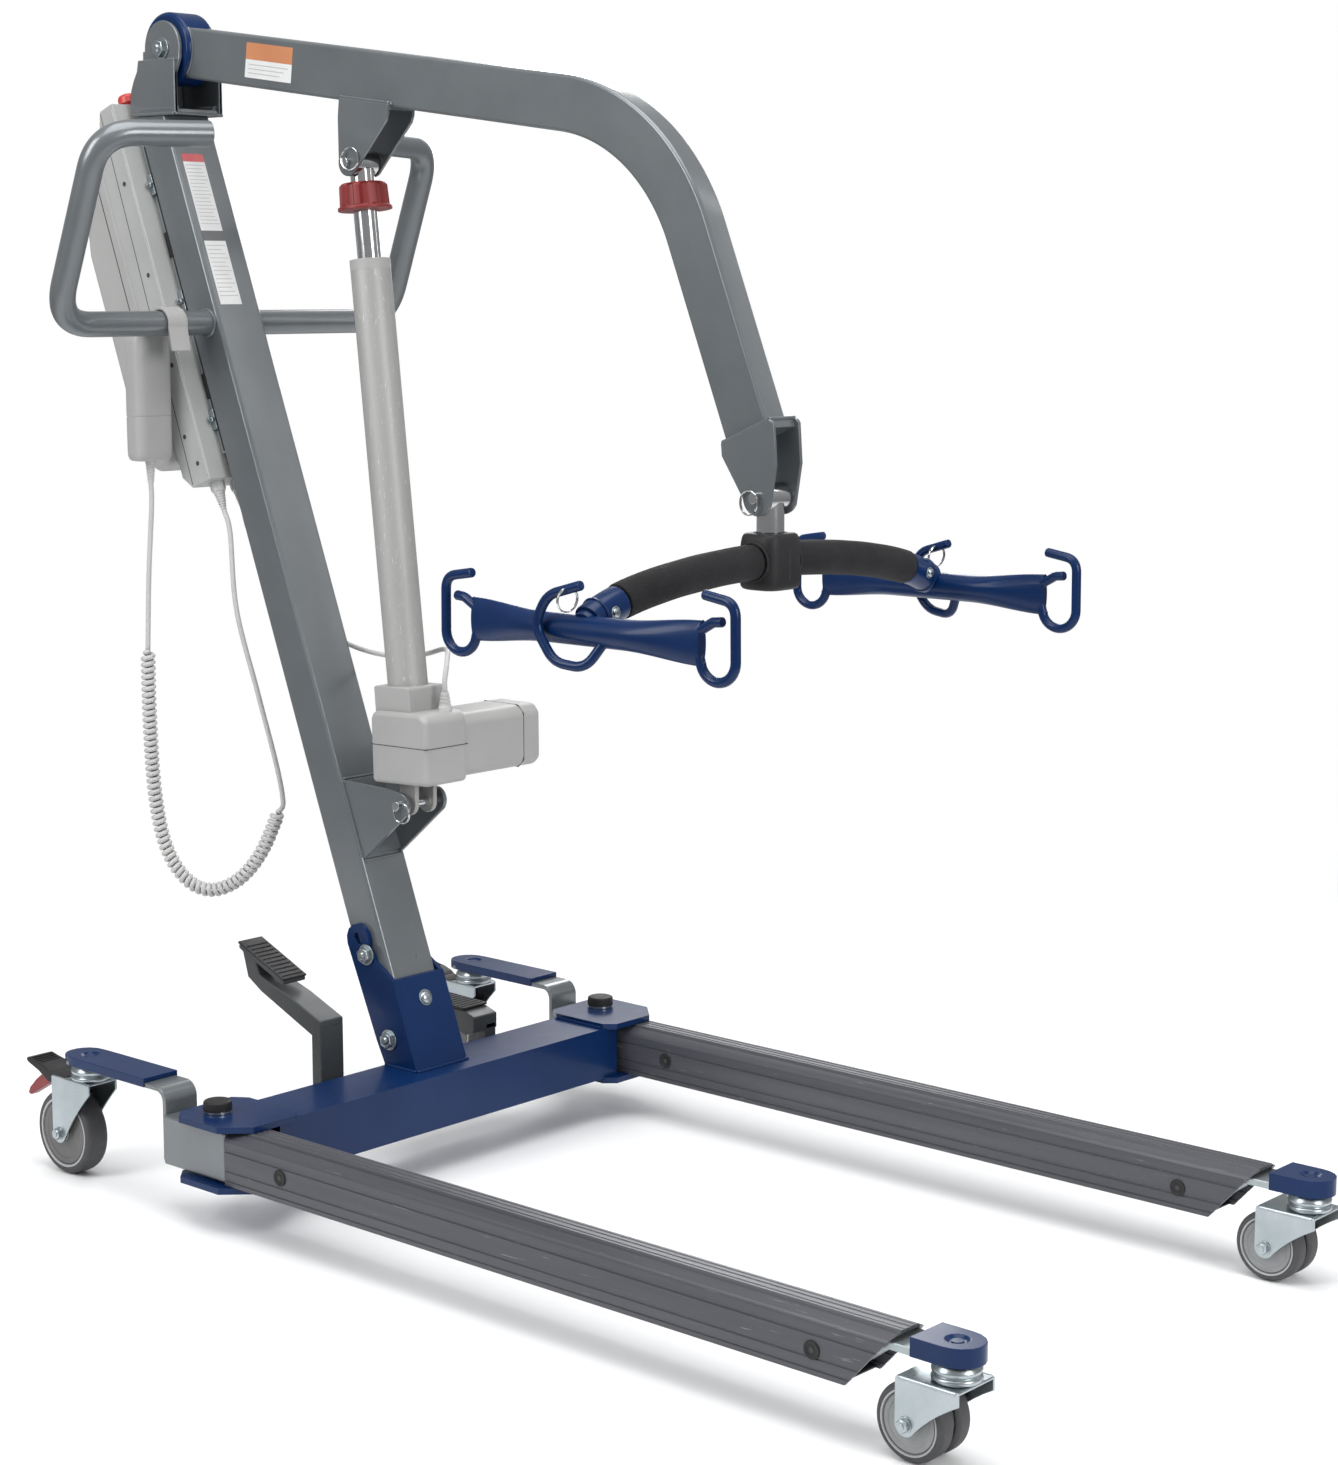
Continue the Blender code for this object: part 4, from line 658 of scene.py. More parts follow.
# ================================ mast and what is fixed to it ===================================
def mast():
    p = Piece("mast_post", "base", ["mast"], "grey_coat")
    half = MAST_HALF_Y
    b, t = 0.1195, MAST_TOP
    outer = [(mast_y(b) - half, b), (mast_y(b) + half, b), (mast_y(t) + half, t), (mast_y(t) - half, t)]
    p.put(prism("x", outer, -MAST_W / 2, MAST_W / 2, 0.0042, 5), GREY)
    web = [(0.372, 1.2345), (0.456, 1.2345), (0.456, 1.241), (0.374, 1.241)]
    p.put(prism("x", web, -0.0366, 0.0366, 0.0006), GREY)
    p.put(block(-0.0318, 0.0318, 0.4406, 0.4439, 1.2402, 1.2828, 0.0008), GREY)
    for s in (-1, 1):
        # head strap: one plate with a joggle, drawn as a thick bent sheet
        path = [(0.0343, 1.235), (0.0343, 1.282), (0.0262, 1.301), (0.026, 1.311)]
        fine = [(q.x, q.y) for q in fillet([(x, z, 0) for x, z in path], 0.01, 6)]
        strip = [(s * (x + HEAD_PLATE / 2), z) for x, z in fine]
        strip += [(s * (x - HEAD_PLATE / 2), z) for x, z in fine[::-1]]
        p.put(prism("y", strip, 0.3705, 0.44, 0.0012), GREY)
        low = [(0.3705, 1.235), (0.4515, 1.235), (0.4562, 1.243), (0.4558, 1.254), (0.454, 1.265), (0.449, 1.276),
               (0.442, 1.287), (0.4392, 1.3), (0.3705, 1.3)]
        p.plate(GREY, low, s, 0.0316, 0.0372, 0.0012, 3)
        p.put(tube(even([Vector((s * 0.0316, 0.376, 1.241)), Vector((s * 0.0316, 0.44, 1.241))], 0.006), 0.006, 16),
              GREY)
        up = [(0.3705, 1.306), (0.437, 1.306)] + arc(PIV.y, PIV.z, 0.0332, 4, 176, 24)
        p.plate(GREY, up, s, 0.0234, 0.0286, 0.0013, 3)
        p.put(weld([(s * 0.0372, 0.372, 1.2352), (s * 0.0372, 0.45, 1.2352)], 0.002), GREY)
        foot = [(mast_y(0.45) - half + 0.0012, 0.45), (LOW.y + 0.004, 0.4475)]
        foot += arc(LOW.y, LOW.z, 0.0155, 100, 235, 14)
        foot += [(mast_y(0.358) - half + 0.0012, 0.358)]
        p.plate(GREY, foot, s, 0.0265, 0.0318, 0.001, 3)
    p.put(weld([(-0.036, 0.3715, 1.2355), (0.036, 0.3715, 1.2355)], 0.0019), GREY)
    bk = [(mast_y(0.45) - half + 0.0012, 0.45), (mast_y(0.45) - half - 0.005, 0.45),
          (mast_y(0.365) - half - 0.005, 0.365), (mast_y(0.365) - half + 0.0012, 0.365)]
    p.put(prism("x", bk, -0.0268, 0.0268, 0.0006), GREY)
    for s in (-1, 1):
        a = [(s * 0.0325, mast_y(z) - half - 0.0004, z) for z in (0.362, 0.448)]
        p.put(weld(a, 0.002), GREY)
    for z in (0.3575, 0.451):
        p.put(weld([(-0.03, mast_y(z) - half - 0.0003, z), (0.03, mast_y(z) - half - 0.0003, z)], 0.0019), GREY)
    # painted shade: a dark sheet standing for the shade in the tube's mouth at the head, just below the web
    p.put(block(-0.03, 0.03, 0.4, 0.44, 1.2362, 1.2372, 0.0002), SHADE)
    p.done()

    # generic blank labels on the mast's front face
    lab = Piece("mast_labels", "base", (), "grey_coat")

    def sticker(x0, x1, z0, z1, mat, lift=0.00025):
        face = [mast_pt(x, z, -MAST_D / 2 - lift) for x, z in ((x0, z0), (x1, z0), (x1, z1), (x0, z1))]
        lab.put(slip(face, [q + BACK * (lift + 0.0002) for q in face]), mat)
    sticker(-0.026, 0.014, 1.188, 1.214, LABEL)
    sticker(-0.025, 0.008, 1.086, 1.178, LABEL)
    sticker(-0.025, 0.008, 1.169, 1.1785, LABEL_RED, 0.0004)
    sticker(-0.025, 0.008, 0.998, 1.086, LABEL)
    sticker(-0.025, 0.008, 1.074, 1.086, LABEL_DARK, 0.0004)
    for k in range(17):
        sticker(-0.0225, 0.0055 - 0.005 * ((k * 7) % 4) / 3, 1.1645 - 0.0044 * k, 1.1653 - 0.0044 * k, LABEL_LINE,
                0.0004)
    for k in range(13):
        sticker(-0.0225, 0.0055 - 0.006 * ((k * 5) % 3) / 2, 1.068 - 0.005 * k, 1.0688 - 0.005 * k, LABEL_LINE,
                0.0004)
    lab.done()

    for name, y, z in (("mast_bolt_upper", mast_y(0.247) + 0.001, 0.247), ("mast_bolt_lower", mast_y(0.15), 0.15)):
        q = Piece(name + "_set", "base", [name], "zinc")
        for s in (-1, 1):
            hex_end(q, (s * (MAST_W / 2 + 0.0063), y, z), (s, 0, 0), 0.017)
        q.put(lathe((-0.045, y, z), X, [(0, 0), (0, 0.0048), (0.09, 0.0048), (0.09, 0)], 20), ZINC)
        q.done()
    q = Piece("boom_pivot_set", "base", ["boom_pivot_bolt"], "zinc")
    for s in (-1, 1):
        hex_end(q, (s * 0.0288, PIV.y, PIV.z), (s, 0, 0), 0.0185)
    q.put(lathe((-0.03, PIV.y, PIV.z), X, [(0, 0), (0, 0.006), (0.06, 0.006), (0.06, 0)], 20), ZINC)
    q.done()
    q = Piece("actuator_foot_pin_set", "base", ["actuator_foot_pin"], "chrome")
    ring_pin(q, LOW - X * 0.0375, 0.071, 0.073, 0.009)
    q.put(split_ring((-0.0355, LOW.y - 0.0085, LOW.z - 0.0075), (1, 0.1, 0), 0.012), CHROME)
    q.done()


def handles():
    for s, side in SIDES:
        p = Piece("handle_tube_" + side, "base", ["push_handle_" + side], "grey_coat")
        path = [(s * (MAST_W / 2 + 0.0003), 0.322, 0.985), (s * 0.258, 0.322, 0.985),
                (s * 0.254, 0.236, 1.199), (s * 0.127, 0.196, 1.201)]
        p.put(tube(fillet(path, HANDLE_BEND, 20), HANDLE_R, 32, edge=0.0012), GREY)
        p.put(weld_round((s * 0.0362, 0.322, 0.985), X, 0.0156, 0.0024), GREY)
        d = (Vector(path[3]) - Vector(path[2])).normalized()
        # black disc at the tube's free end, with a smaller disc of painted shade at its centre
        p.put(disc(Vector(path[3]) - d * 0.0006, d, [(0, 0.0118), (0.0012, 0.0118)], 0.0003, 32), BLACK)
        p.put(disc(Vector(path[3]) + d * 0.0004, d, [(0, 0.006), (0.0006, 0.0056)], 0.0002, 24), SHADE)
        p.done()


def plate_pts(outline):
    """(y, z) points from (height, distance behind the mast's rear face)."""
    pts = [mast_pt(0, z, MAST_D / 2 + h) for z, h in outline]
    return [(q.y, q.z) for q in pts]


def controls():
    p = Piece("box_rail", "base", ["box_mount"], "zinc")
    p.put(prism("x", plate_pts([(0.84, 0.0003), (1.215, 0.0003), (1.215, 0.0096), (0.84, 0.0096)]), -0.03, 0.03,
                0.0008), STEEL)
    for s in (-1, 1):
        # returned lips drawn as strips of painted shade, and clips and screws along the rail's sides
        p.plate(SHADE, plate_pts([(0.842, 0.003), (1.213, 0.003), (1.213, 0.005), (0.842, 0.005)]), s, 0.0298,
                0.0312, 0.0003)
        for z in (0.868, 1.01, 1.15):
            c = plate_pts([(z, 0.0012), (z + 0.024, 0.0012), (z + 0.024, 0.0098), (z, 0.0098)])
            p.plate(ZINC, c, s, 0.0296, 0.0345, 0.0008)
            q = mast_pt(s * 0.0345, z + 0.012, MAST_D / 2 + 0.0052)
            p.put(hexagon(q, (s, 0, 0), 0.0075, 0.0042), ZINC)
            p.put(disc(q, (s, 0, 0), [(0.004, 0.0022), (0.0075, 0.002)], 0.0004, 16), ZINC)
        for z in (0.905, 1.075):
            c = plate_pts([(z, 0.0018), (z + 0.03, 0.0018), (z + 0.03, 0.009), (z, 0.009)])
            p.plate(BLACK, c, s, 0.029, 0.0318, 0.0006)
    p.done()

    p = Piece("control_case", "base", ["control_box"], "light_case")
    p.cad("control_box", 0.0045, CASE_DARK, 4)
    for s in (-1, 1):
        # seam along each side drawn as a strip of painted shade, a rib, and screw bosses with painted shade in
        # their holes
        seam = plate_pts([(0.8155, 0.0438), (1.259, 0.0352), (1.259, 0.0362), (0.8155, 0.0448)])
        p.plate(SHADE, seam, s, 0.0572, 0.0583, 0.0002)
        rib = plate_pts([(0.818, 0.0125), (1.256, 0.0125), (1.256, 0.015), (0.818, 0.015)])
        p.plate(CASE_DARK, rib, s, 0.0575, 0.059, 0.0005)
        for z, h in ((0.835, 0.025), (0.87, 0.036), (0.952, 0.025), (1.06, 0.025), (1.17, 0.025), (1.235, 0.024)):
            q = mast_pt(s * 0.058, z, MAST_D / 2 + h)
            p.put(disc(q, (s, 0, 0), [(-0.0004, 0.0046), (0.0004, 0.0046)], 0.0003, 24), CASE_DARK)
            p.put(disc(q, (s, 0, 0), [(0.0003, 0.003), (0.0006, 0.003)], 0.0002, 20), SHADE)
    # a small lamp and the stop button's seat on the upper slope
    q = mast_pt(0.024, 1.2622, MAST_D / 2 + 0.024)
    p.put(disc(q - LEAN * 0.0006, LEAN, [(0, 0.0042), (0.0014, 0.0038)], 0.0004, 20), BLACK)
    q = mast_pt(-0.02, 1.2622, MAST_D / 2 + 0.024)
    p.turned(CASE_PALE, q - LEAN * 0.0006, LEAN,
             [(0, 0.0086), (0, 0.0155), (0.0009, 0.0148), (0.0009, 0.0086), (0, 0.0086)], 0.0002, 40)
    for x in (-0.036, -0.006, 0.026):
        q = mast_pt(x, 0.812, MAST_D / 2 + 0.026)
        p.put(disc(q + LEAN * 0.0006, -LEAN, [(0, 0.011), (0.0012, 0.0108)], 0.0004, 32), CASE_DARK)
    q = mast_pt(0.026, 0.811, MAST_D / 2 + 0.026)
    p.put(disc(q, -LEAN, [(0, 0.0066), (0.0005, 0.0066)], 0.0002, 24), SHADE)
    p.done()

    p = Piece("battery_case", "base", ["battery_pack"], "light_case")
    p.cad("battery_pack", 0.0085, CASE, 5)
    for s in (-1, 1):
        # groove round each side of the pack, drawn as a strip of painted shade
        rib = plate_pts([(0.862, 0.078), (1.19, 0.078), (1.19, 0.0795), (0.862, 0.0795)])
        p.plate(SHADE, rib, s, 0.0552, 0.0563, 0.0003)
    grip = plate_pts([(1.1, 0.1285), (1.15, 0.115), (1.152, 0.1185), (1.102, 0.132)])
    p.put(prism("x", grip, -0.034, 0.034, 0.0014, 3), CASE_PALE)
    for k in range(5):
        z = 0.905 + 0.014 * k
        rib = plate_pts([(z, 0.129), (z + 0.005, 0.129), (z + 0.005, 0.1312), (z, 0.1312)])
        p.put(prism("x", rib, -0.03, 0.03, 0.0006), CASE_PALE)
    p.done()

    at = mast_pt(-0.02, 1.2618, MAST_D / 2 + 0.024)
    p = Piece("stop_mushroom", "stop_button", ["emergency_stop"], "red_plastic")
    p.turned(BRIGHT_RED, at, LEAN,
             [(-0.004, 0), (-0.004, 0.0073), (0.0062, 0.0073), (0.0062, 0.012), (0.014, 0.012), (0.0172, 0.0105),
              (0.0182, 0.007), (0.0184, 0)], 0.0012, 40, corner=4)
    p.turned(BRIGHT_RED, at, LEAN, [(0.0064, 0.01), (0.0064, 0.01235), (0.01, 0.01235), (0.01, 0.01)], 0.0004, 40,
             wobble=lambda k, t: 1 + 0.018 * cos(20 * t))
    p.done()


def handset():
    hx, hy, w, d = -0.094, 0.364, 0.027, 0.0155
    p = Piece("handset_case", "base", ["handset_body"], "light_case")
    # height, and how much of the full width and depth the case has there
    levels = [(0.82, 0.7, 0.62), (0.8206, 0.84, 0.78), (0.8225, 0.93, 0.9), (0.8262, 0.98, 0.965),
              (0.832, 0.995, 0.99), (0.85, 1, 1), (0.87, 1, 1), (0.8725, 1, 1), (0.8732, 0.978, 0.965),
              (0.8744, 0.978, 0.965), (0.8751, 1, 1), (0.9, 1, 1), (0.93, 1, 1), (0.95, 0.995, 1),
              (0.962, 0.985, 0.99), (0.968, 0.96, 0.965), (0.9708, 0.9, 0.9), (0.9719, 0.8, 0.8)]
    p.put(loft([oblong(hx, hy, z, a * w, b * d, 2 / 4.2, 40) for z, a, b in levels]), CASE)
    # key panel on the rear face, with a raised rim around each key
    p.put(block(hx - 0.019, hx + 0.019, hy + d - 0.0012, hy + d + 0.0002, 0.879, 0.948, 0.003, 4), CASE_DARK)
    for z in (0.93, 0.9):
        rim = soften([(0, 0.0078), (0, 0.0098), (0.001, 0.0094), (0.001, 0.0079), (0, 0.0078)], 0.0002)
        p.put(lathe((hx, hy + d, z), Y, rim, 32), CASE)
    p.put(disc((hx, hy + d, 0.886), Y, [(0, 0.002), (0.0006, 0.0018)], 0.0002, 16), BLACK)
    relief = ribbed(7, 0.002, 0.0035, lambda k: 0.0061 - 0.00033 * k, 0.0018, 0.0032, 0.0009)
    p.put(lathe((hx, hy, 0.8203), -Z,
                [(0, 0), (0, 0.0064)] + relief + [(0.0268, 0.0036), (0.0274, 0.0034), (0.0274, 0)], 28), CORD)
    p.done()
    for name, body, z, up in (("button_up", "up_button", 0.93, 1), ("button_down", "down_button", 0.9, -1)):
        q = Piece(name + "_key", body, [name], "black_plastic")
        cap = soften([(-0.0018, 0), (-0.0018, 0.0073), (0.0012, 0.0073), (0.0019, 0.0058), (0.0019, 0)], 0.0005)
        q.put(lathe((hx, hy + d, z), Y, cap, 32), BLACK)
        tri = [(hx - 0.0028, z - up * 0.0016), (hx + 0.0028, z - up * 0.0016), (hx, z + up * 0.0028)]
        q.put(prism("y", tri, hy + d + 0.0016, hy + d + 0.0022, 0.0002), LABEL)
        q.done()
    p = Piece("handset_hanger_band", "base", ["handset_hook"], "light_case")
    cy, cz, r = 0.322, 0.985, HANDLE_R
    outline = [(cy - 0.024, 0.953), (cy - 0.02, 0.953)] + arc(cy, cz, r + 0.001, 195, 0, 24)
    outline += [(cy + 0.016, 0.9723), (hy + 0.01, 0.9723), (hy + 0.01, 0.9765), (cy + 0.0205, 0.9765)]
    outline += arc(cy, cz, r + 0.0046, 0, 195, 24)
    p.put(prism("x", outline, hx - 0.014, hx + 0.014, 0.001, 3), CASE)
    for s in (-1, 1):
        edge = arc(cy, cz, r + 0.005, 20, 175, 20) + arc(cy, cz, r + 0.004, 175, 20, 20)
        p.put(prism("x", edge, *sorted((hx + s * 0.01, hx + s * 0.0125)), 0.0003), CASE)
    p.done()
    return hx, hy


# ================================ cords ==========================================================
def smooth_route(points, step):
    pts = [Vector(q) for q in points]
    ext = [2 * pts[0] - pts[1]] + pts + [2 * pts[-1] - pts[-2]]
    fine = []
    for i in range(1, len(ext) - 2):
        p0, p1, p2, p3 = ext[i - 1:i + 3]
        for k in range(24):
            t = k / 24
            fine.append(0.5 * (2 * p1 + (p2 - p0) * t + (2 * p0 - 5 * p1 + 4 * p2 - p3) * t * t
                               + (3 * p1 - p0 - 3 * p2 + p3) * t ** 3))
    fine.append(pts[-1])
    return even(fine, step)


def lead_curve(name, points, radius, replaces):
    cu = bpy.data.curves.new(name, "CURVE")
    cu.dimensions = "3D"
    cu.bevel_depth = radius
    cu.bevel_resolution = 4
    cu.use_fill_caps = True
    line = cu.splines.new("POLY")
    line.points.add(len(points) - 1)
    for a, b in zip(line.points, points):
        a.co = (b.x, b.y + FY, b.z, 1)
    line.use_smooth = True
    cu.materials.append(CORD)
    ob = link_new(name, cu)
    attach(ob, "base")
    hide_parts(*replaces)
    return ob


COIL_TURNS, COIL_R = 62, 0.006


def cords(hx, hy):
    def hang(t, z):
        return Vector((hx + 0.54 * t, hy - 0.84 * t, z))
    sock = mast_pt(-0.036, 0.812, MAST_D / 2 + 0.026)
    sock2 = mast_pt(-0.006, 0.812, MAST_D / 2 + 0.026)
    end = sock - LEAN * 0.0348
    for node, at, r in (("handset_plug", sock, 0.0085), ("motor_plug", sock2, 0.008)):
        q = Piece(node + "_set", "base", [node], "cord_grey")
        relief = ribbed(6, 0.0138, 0.0031, lambda k: r * (0.78 - 0.055 * k), 0.0016, 0.0029, 0.001)
        q.put(lathe(at - LEAN * 0.0003, -LEAN, [(0, 0), (0, r), (0.0115, r), (0.0125, r * 0.82)] + relief
                    + [(0.0338, 0.0037), (0.034, 0.0035), (0.034, 0)], 32), CORD)
        _, a, b = frame_of(LEAN)
        for k in range(8):
            t = 2 * pi * k / 8
            c = at - LEAN * 0.006 + (a * cos(t) + b * sin(t)) * (r + 0.0001)
            q.put(tube([c - LEAN * 0.004, c, c + LEAN * 0.004], 0.0007, 8, edge=0.0004), CORD)
        q.done()

    top, foot = hang(-0.01, 0.588), hang(0.152, 0.392)
    upper = smooth_route([(hx, hy, 0.7929), (hx, hy, 0.765), hang(-0.006, 0.68), top], 0.004)
    axis = smooth_route([top, hang(-0.01, 0.5), hang(-0.006, 0.41), hang(0.006, 0.345), hang(0.03, 0.305),
                         hang(0.062, 0.291), hang(0.098, 0.305), hang(0.128, 0.34), foot], 0.0006)
    n, total = len(axis), COIL_TURNS * 20
    side = frame_of(axis[1] - axis[0])[1]
    helix, sides = [], []
    for i in range(n):
        d = (axis[min(i + 1, n - 1)] - axis[max(i - 1, 0)]).normalized()
        side = (side - d * side.dot(d)).normalized()
        sides.append((side.copy(), d.cross(side)))
    for k in range(total + 1):
        f = k / total * (n - 1)
        i = min(int(f), n - 2)
        c = axis[i].lerp(axis[i + 1], f - i)
        a, b = sides[i]
        t = 2 * pi * COIL_TURNS * k / total
        grow = COIL_R * min(1, k / 14, (total - k) / 14)
        helix.append(c + (a * cos(t) + b * sin(t)) * grow)
    leave = (foot - hang(0.128, 0.34)).normalized()
    lower = smooth_route([foot, foot + leave * 0.013, hang(0.15, 0.45), hang(0.128, 0.54),
                          hang(0.104, 0.64), end - LEAN * 0.03, end], 0.004)
    pts = upper[:-1] + helix + lower[1:]
    lead = lead_curve("handset_lead", pts, 0.0031,
                      ["handset_lead_upper", "handset_lead_coil", "handset_lead_lower"])
    a = sock2 - LEAN * 0.0348
    run = smooth_route([a, a - LEAN * 0.03, (0.01, 0.275, 0.69), (0.04, 0.24, 0.63), (0.06, 0.19, 0.598),
                        (0.064, 0.12, 0.588), (0.058, 0.05, 0.596), (0.042, -0.005, 0.608),
                        (0.02, -0.03, 0.597), (0.012, -0.0345, 0.578), (0.012, -0.0345, 0.5652)], 0.004)
    # the lead is baked in place and attached to no body
    q = Piece("motor_lead", ("base", "actuator", (0.06, 0.19 + FY, 0.598), (0.02, -0.025 + FY, 0.598)),
              ["motor_cable"], "cord_grey")
    q.put(tube(run, 0.003, 16, edge=0.0004), CORD)
    motor = q.done(50)


# ================================ legs ===========================================================
def leg_set(s, side):
    x, body = s * LEG_X, "leg_" + side
    p = Piece("leg_beam_" + side, body, ["leg_" + side], "grey_coat")
    p.put(block(x - 0.0272, x + 0.0272, -0.043, 0.063, 0.0578, 0.114, 0.0022, 3), GREY)
    core = [(-0.0425, 0.0625), (-0.896, 0.0625), (-0.945, 0.0995), (-1.004, 0.0995), (-1.004, 0.1075),
            (-0.0425, 0.1075)]
    p.put(prism("x", core, x - 0.0225, x + 0.0225, 0.0014, 3), STEEL)
    p.put(block(*sorted((x - s * 0.0265, x - s * 0.044)), -0.041, -0.021, 0.08, 0.086, 0.0008), GREY)
    p.put(weld([(x - s * 0.0274, -0.041, 0.0866), (x - s * 0.0274, -0.021, 0.0866)], 0.0015), GREY)
    # end plate of the stub
    p.put(block(x - 0.0262, x + 0.0262, 0.0618, 0.0632, 0.0588, 0.113, 0.0008), GREY)
    p.done()

    p = Piece("leg_shell_" + side, body, ["leg_cover_" + side], "leg_cover")
    w, z0, z1, g = 0.028, 0.056, 0.1165, 0.0011
    half = [(-w, z0), (-w, 0.0605), (-w + g, 0.0612), (-w + g, 0.0622), (-w, 0.0629), (-w, 0.0715),
            (-w + g, 0.0722), (-w + g, 0.0738), (-w, 0.0745), (-w, 0.0935), (-w + g, 0.0942), (-w + g, 0.0958),
            (-w, 0.0965), (-w, 0.1045), (-w + 0.0005, 0.1068), (-w + 0.002, 0.1092), (-w + 0.0062, 0.1118),
            (-w + 0.0098, 0.1132), (-0.0168, 0.114), (-0.0158, 0.1128), (-0.0146, 0.1128), (-0.0136, 0.1152),
            (-0.012, z1), (-0.0092, z1), (-0.0084, z1 - g), (-0.0072, z1 - g), (-0.0064, z1), (-0.0022, z1),
            (-0.0016, z1 - 0.0007)]
    outline = half + [(-a, b) for a, b in half[::-1]]
    n = len(outline)

    def front(z):
        return max(-0.956, -0.899 - (z - 0.05) * 0.9)
    inner = [(a * 0.885, min(0.1122, max(0.0562, b * 0.94 + 0.0035)) if b > z0 + 1e-6 else z0) for a, b in outline]
    verts = [(x + a, front(b), b) for a, b in outline] + [(x + a, -0.0434, b) for a, b in outline]
    verts += [(x + a, front(b), b) for a, b in inner] + [(x + a, -0.0434, b) for a, b in inner]
    faces = []
    for i in range(n - 1):
        j = i + 1
        faces += [(i, j, n + j, n + i), (2 * n + i, 2 * n + j, 3 * n + j, 3 * n + i),
                  (i, j, 2 * n + j, 2 * n + i), (n + i, n + j, 3 * n + j, 3 * n + i)]
    for i in (0, n - 1):
        faces.append((i, n + i, 3 * n + i, 2 * n + i))
    p.put(bm_from(verts, faces), COVER)
    # underside closing strip, and the black recessed screws on both faces, with painted shade in their hex sockets
    p.put(block(x - 0.0246, x + 0.0246, -0.9, -0.044, 0.0562, 0.058, 0.0005), COVER)
    for y in (-0.136, -0.867):
        for f in (-1, 1):
            q = Vector((x + f * w, y, 0.084 if y > -0.5 else 0.08))
            ringp = soften([(-0.0012, 0), (-0.0012, 0.0092), (0.0012, 0.0092), (0.0016, 0.0078), (0.0008, 0.0062),
                            (0.0004, 0.005), (0.0004, 0)], 0.0004)
            p.put(lathe(q, (f, 0, 0), ringp, 32), BLACK)
            p.put(lathe(q, (f, 0, 0), [(0.0002, 0), (0.0002, 0.003), (0.0008, 0.003), (0.0008, 0)], 6), SHADE)
    p.done(24)

    p = Piece("rear_arm_" + side, body, ["rear_caster_arm_" + side], "grey_coat")
    r = 0.0226
    def round_bend(ry, rz, turns):
        return [(0.0794 + ry * cos(radians(t)), 0.126 + rz * sin(radians(t))) for t in turns]
    bar = [(0.0634, 0.06), (0.0694, 0.06), (0.0694, 0.126)] + round_bend(0.01, 0.0115, range(170, 80, -10))
    bar += [(0.246, 0.1375), (0.246, 0.143), (0.0794, 0.143)] + round_bend(0.016, 0.017, range(100, 190, 10))
    p.put(prism("x", bar, x - r, x + r, 0.0012, 3), GREY)
    p.put(lathe((x, 0.0694, 0.086), Y, dome(0, 0.0055, 0.01), 32), ZINC)
    p.done()

    for end, y, top, r in (("rear", REAR_Y, 0.1464, 0.0062), ("front", FRONT_Y, 0.1162, 0.006)):
        p = Piece(end + "_arm_cap_" + side, body, [end + "_cap_" + side], "navy_coat")
        p.cad(end + "_cap_" + side, 0.0016 if end == "rear" else 0.0018, NAVY, 4)
        p.turned(NAVY, (x, y, top), Z, [(0, 0), (0, r), (0.0008, r - 0.0002), (0.0008, 0)], 0.0003, 32)
        p.done()


# ================================ casters ========================================================
TWIN_WIDTH_MAX = 0.03                   # wheels narrower than this are the twin front ones


def wheel(name, body, x, y, z, r, width):
    """Tyre, a pale ring that is partly a painted highlight, a thin ring of painted shade and a grey core, alike on
    both sides. Its node is named like its body.
    """
    p = Piece(name, body, [body], "grey_tyre")
    h = width / 2
    tyre = [(-h + 0.004, r * 0.79), (-h + 0.0012, r * 0.835), (-h + 0.0009, r * 0.9), (-h + 0.003, r * 0.965),
            (-h * 0.55, r * 0.995), (0, r)]
    tyre += [(-a, b) for a, b in tyre[-2::-1]]
    p.put(lathe((x, y, z), X, soften(tyre + [tyre[0]], 0.0018, 4)[:-1], 72), TYRE)
    core = [(-h + 0.0026, 0.0055), (-h + 0.0016, r * 0.24), (-h + 0.0028, r * 0.29), (-h + 0.0034, r * 0.6),
            (-h + 0.0026, r * 0.63), (-h + 0.0026, r * 0.77), (-h + 0.0036, r * 0.785)]
    core += [(-a, b) for a, b in core[::-1]]
    p.turned(HUB if width < TWIN_WIDTH_MAX else HUB_DARK, (x, y, z), X, core, 0.0008, 64)
    for s in (-1, 1):
        # pale band near the tyre: its own tone with a painted highlight in it
        pale = [(s * (h - 0.0042), r * 0.775), (s * (h - 0.0014), r * 0.785), (s * (h - 0.0012), r * 0.83),
                (s * (h - 0.0036), r * 0.84)]
        p.turned(PALE_RING_AND_HIGHLIGHT, (x, y, z), X, pale, 0.0004, 72)
        # thin ring of painted shade just inside the pale band
        dark = [(s * (h - 0.004), r * 0.735), (s * (h - 0.0024), r * 0.74), (s * (h - 0.0024), r * 0.758),
                (s * (h - 0.004), r * 0.765)]
        p.turned(SHADE, (x, y, z), X, dark, 0.0003, 72)
        p.turned(PALE_RING_AND_HIGHLIGHT, (x, y, z), (s, 0, 0),
                 [(h - 0.0042, 0.0052), (h - 0.0042, r * 0.22), (h - 0.0012, r * 0.2), (h - 0.0012, 0.0052)],
                 0.0005, 40)
    return p.done()


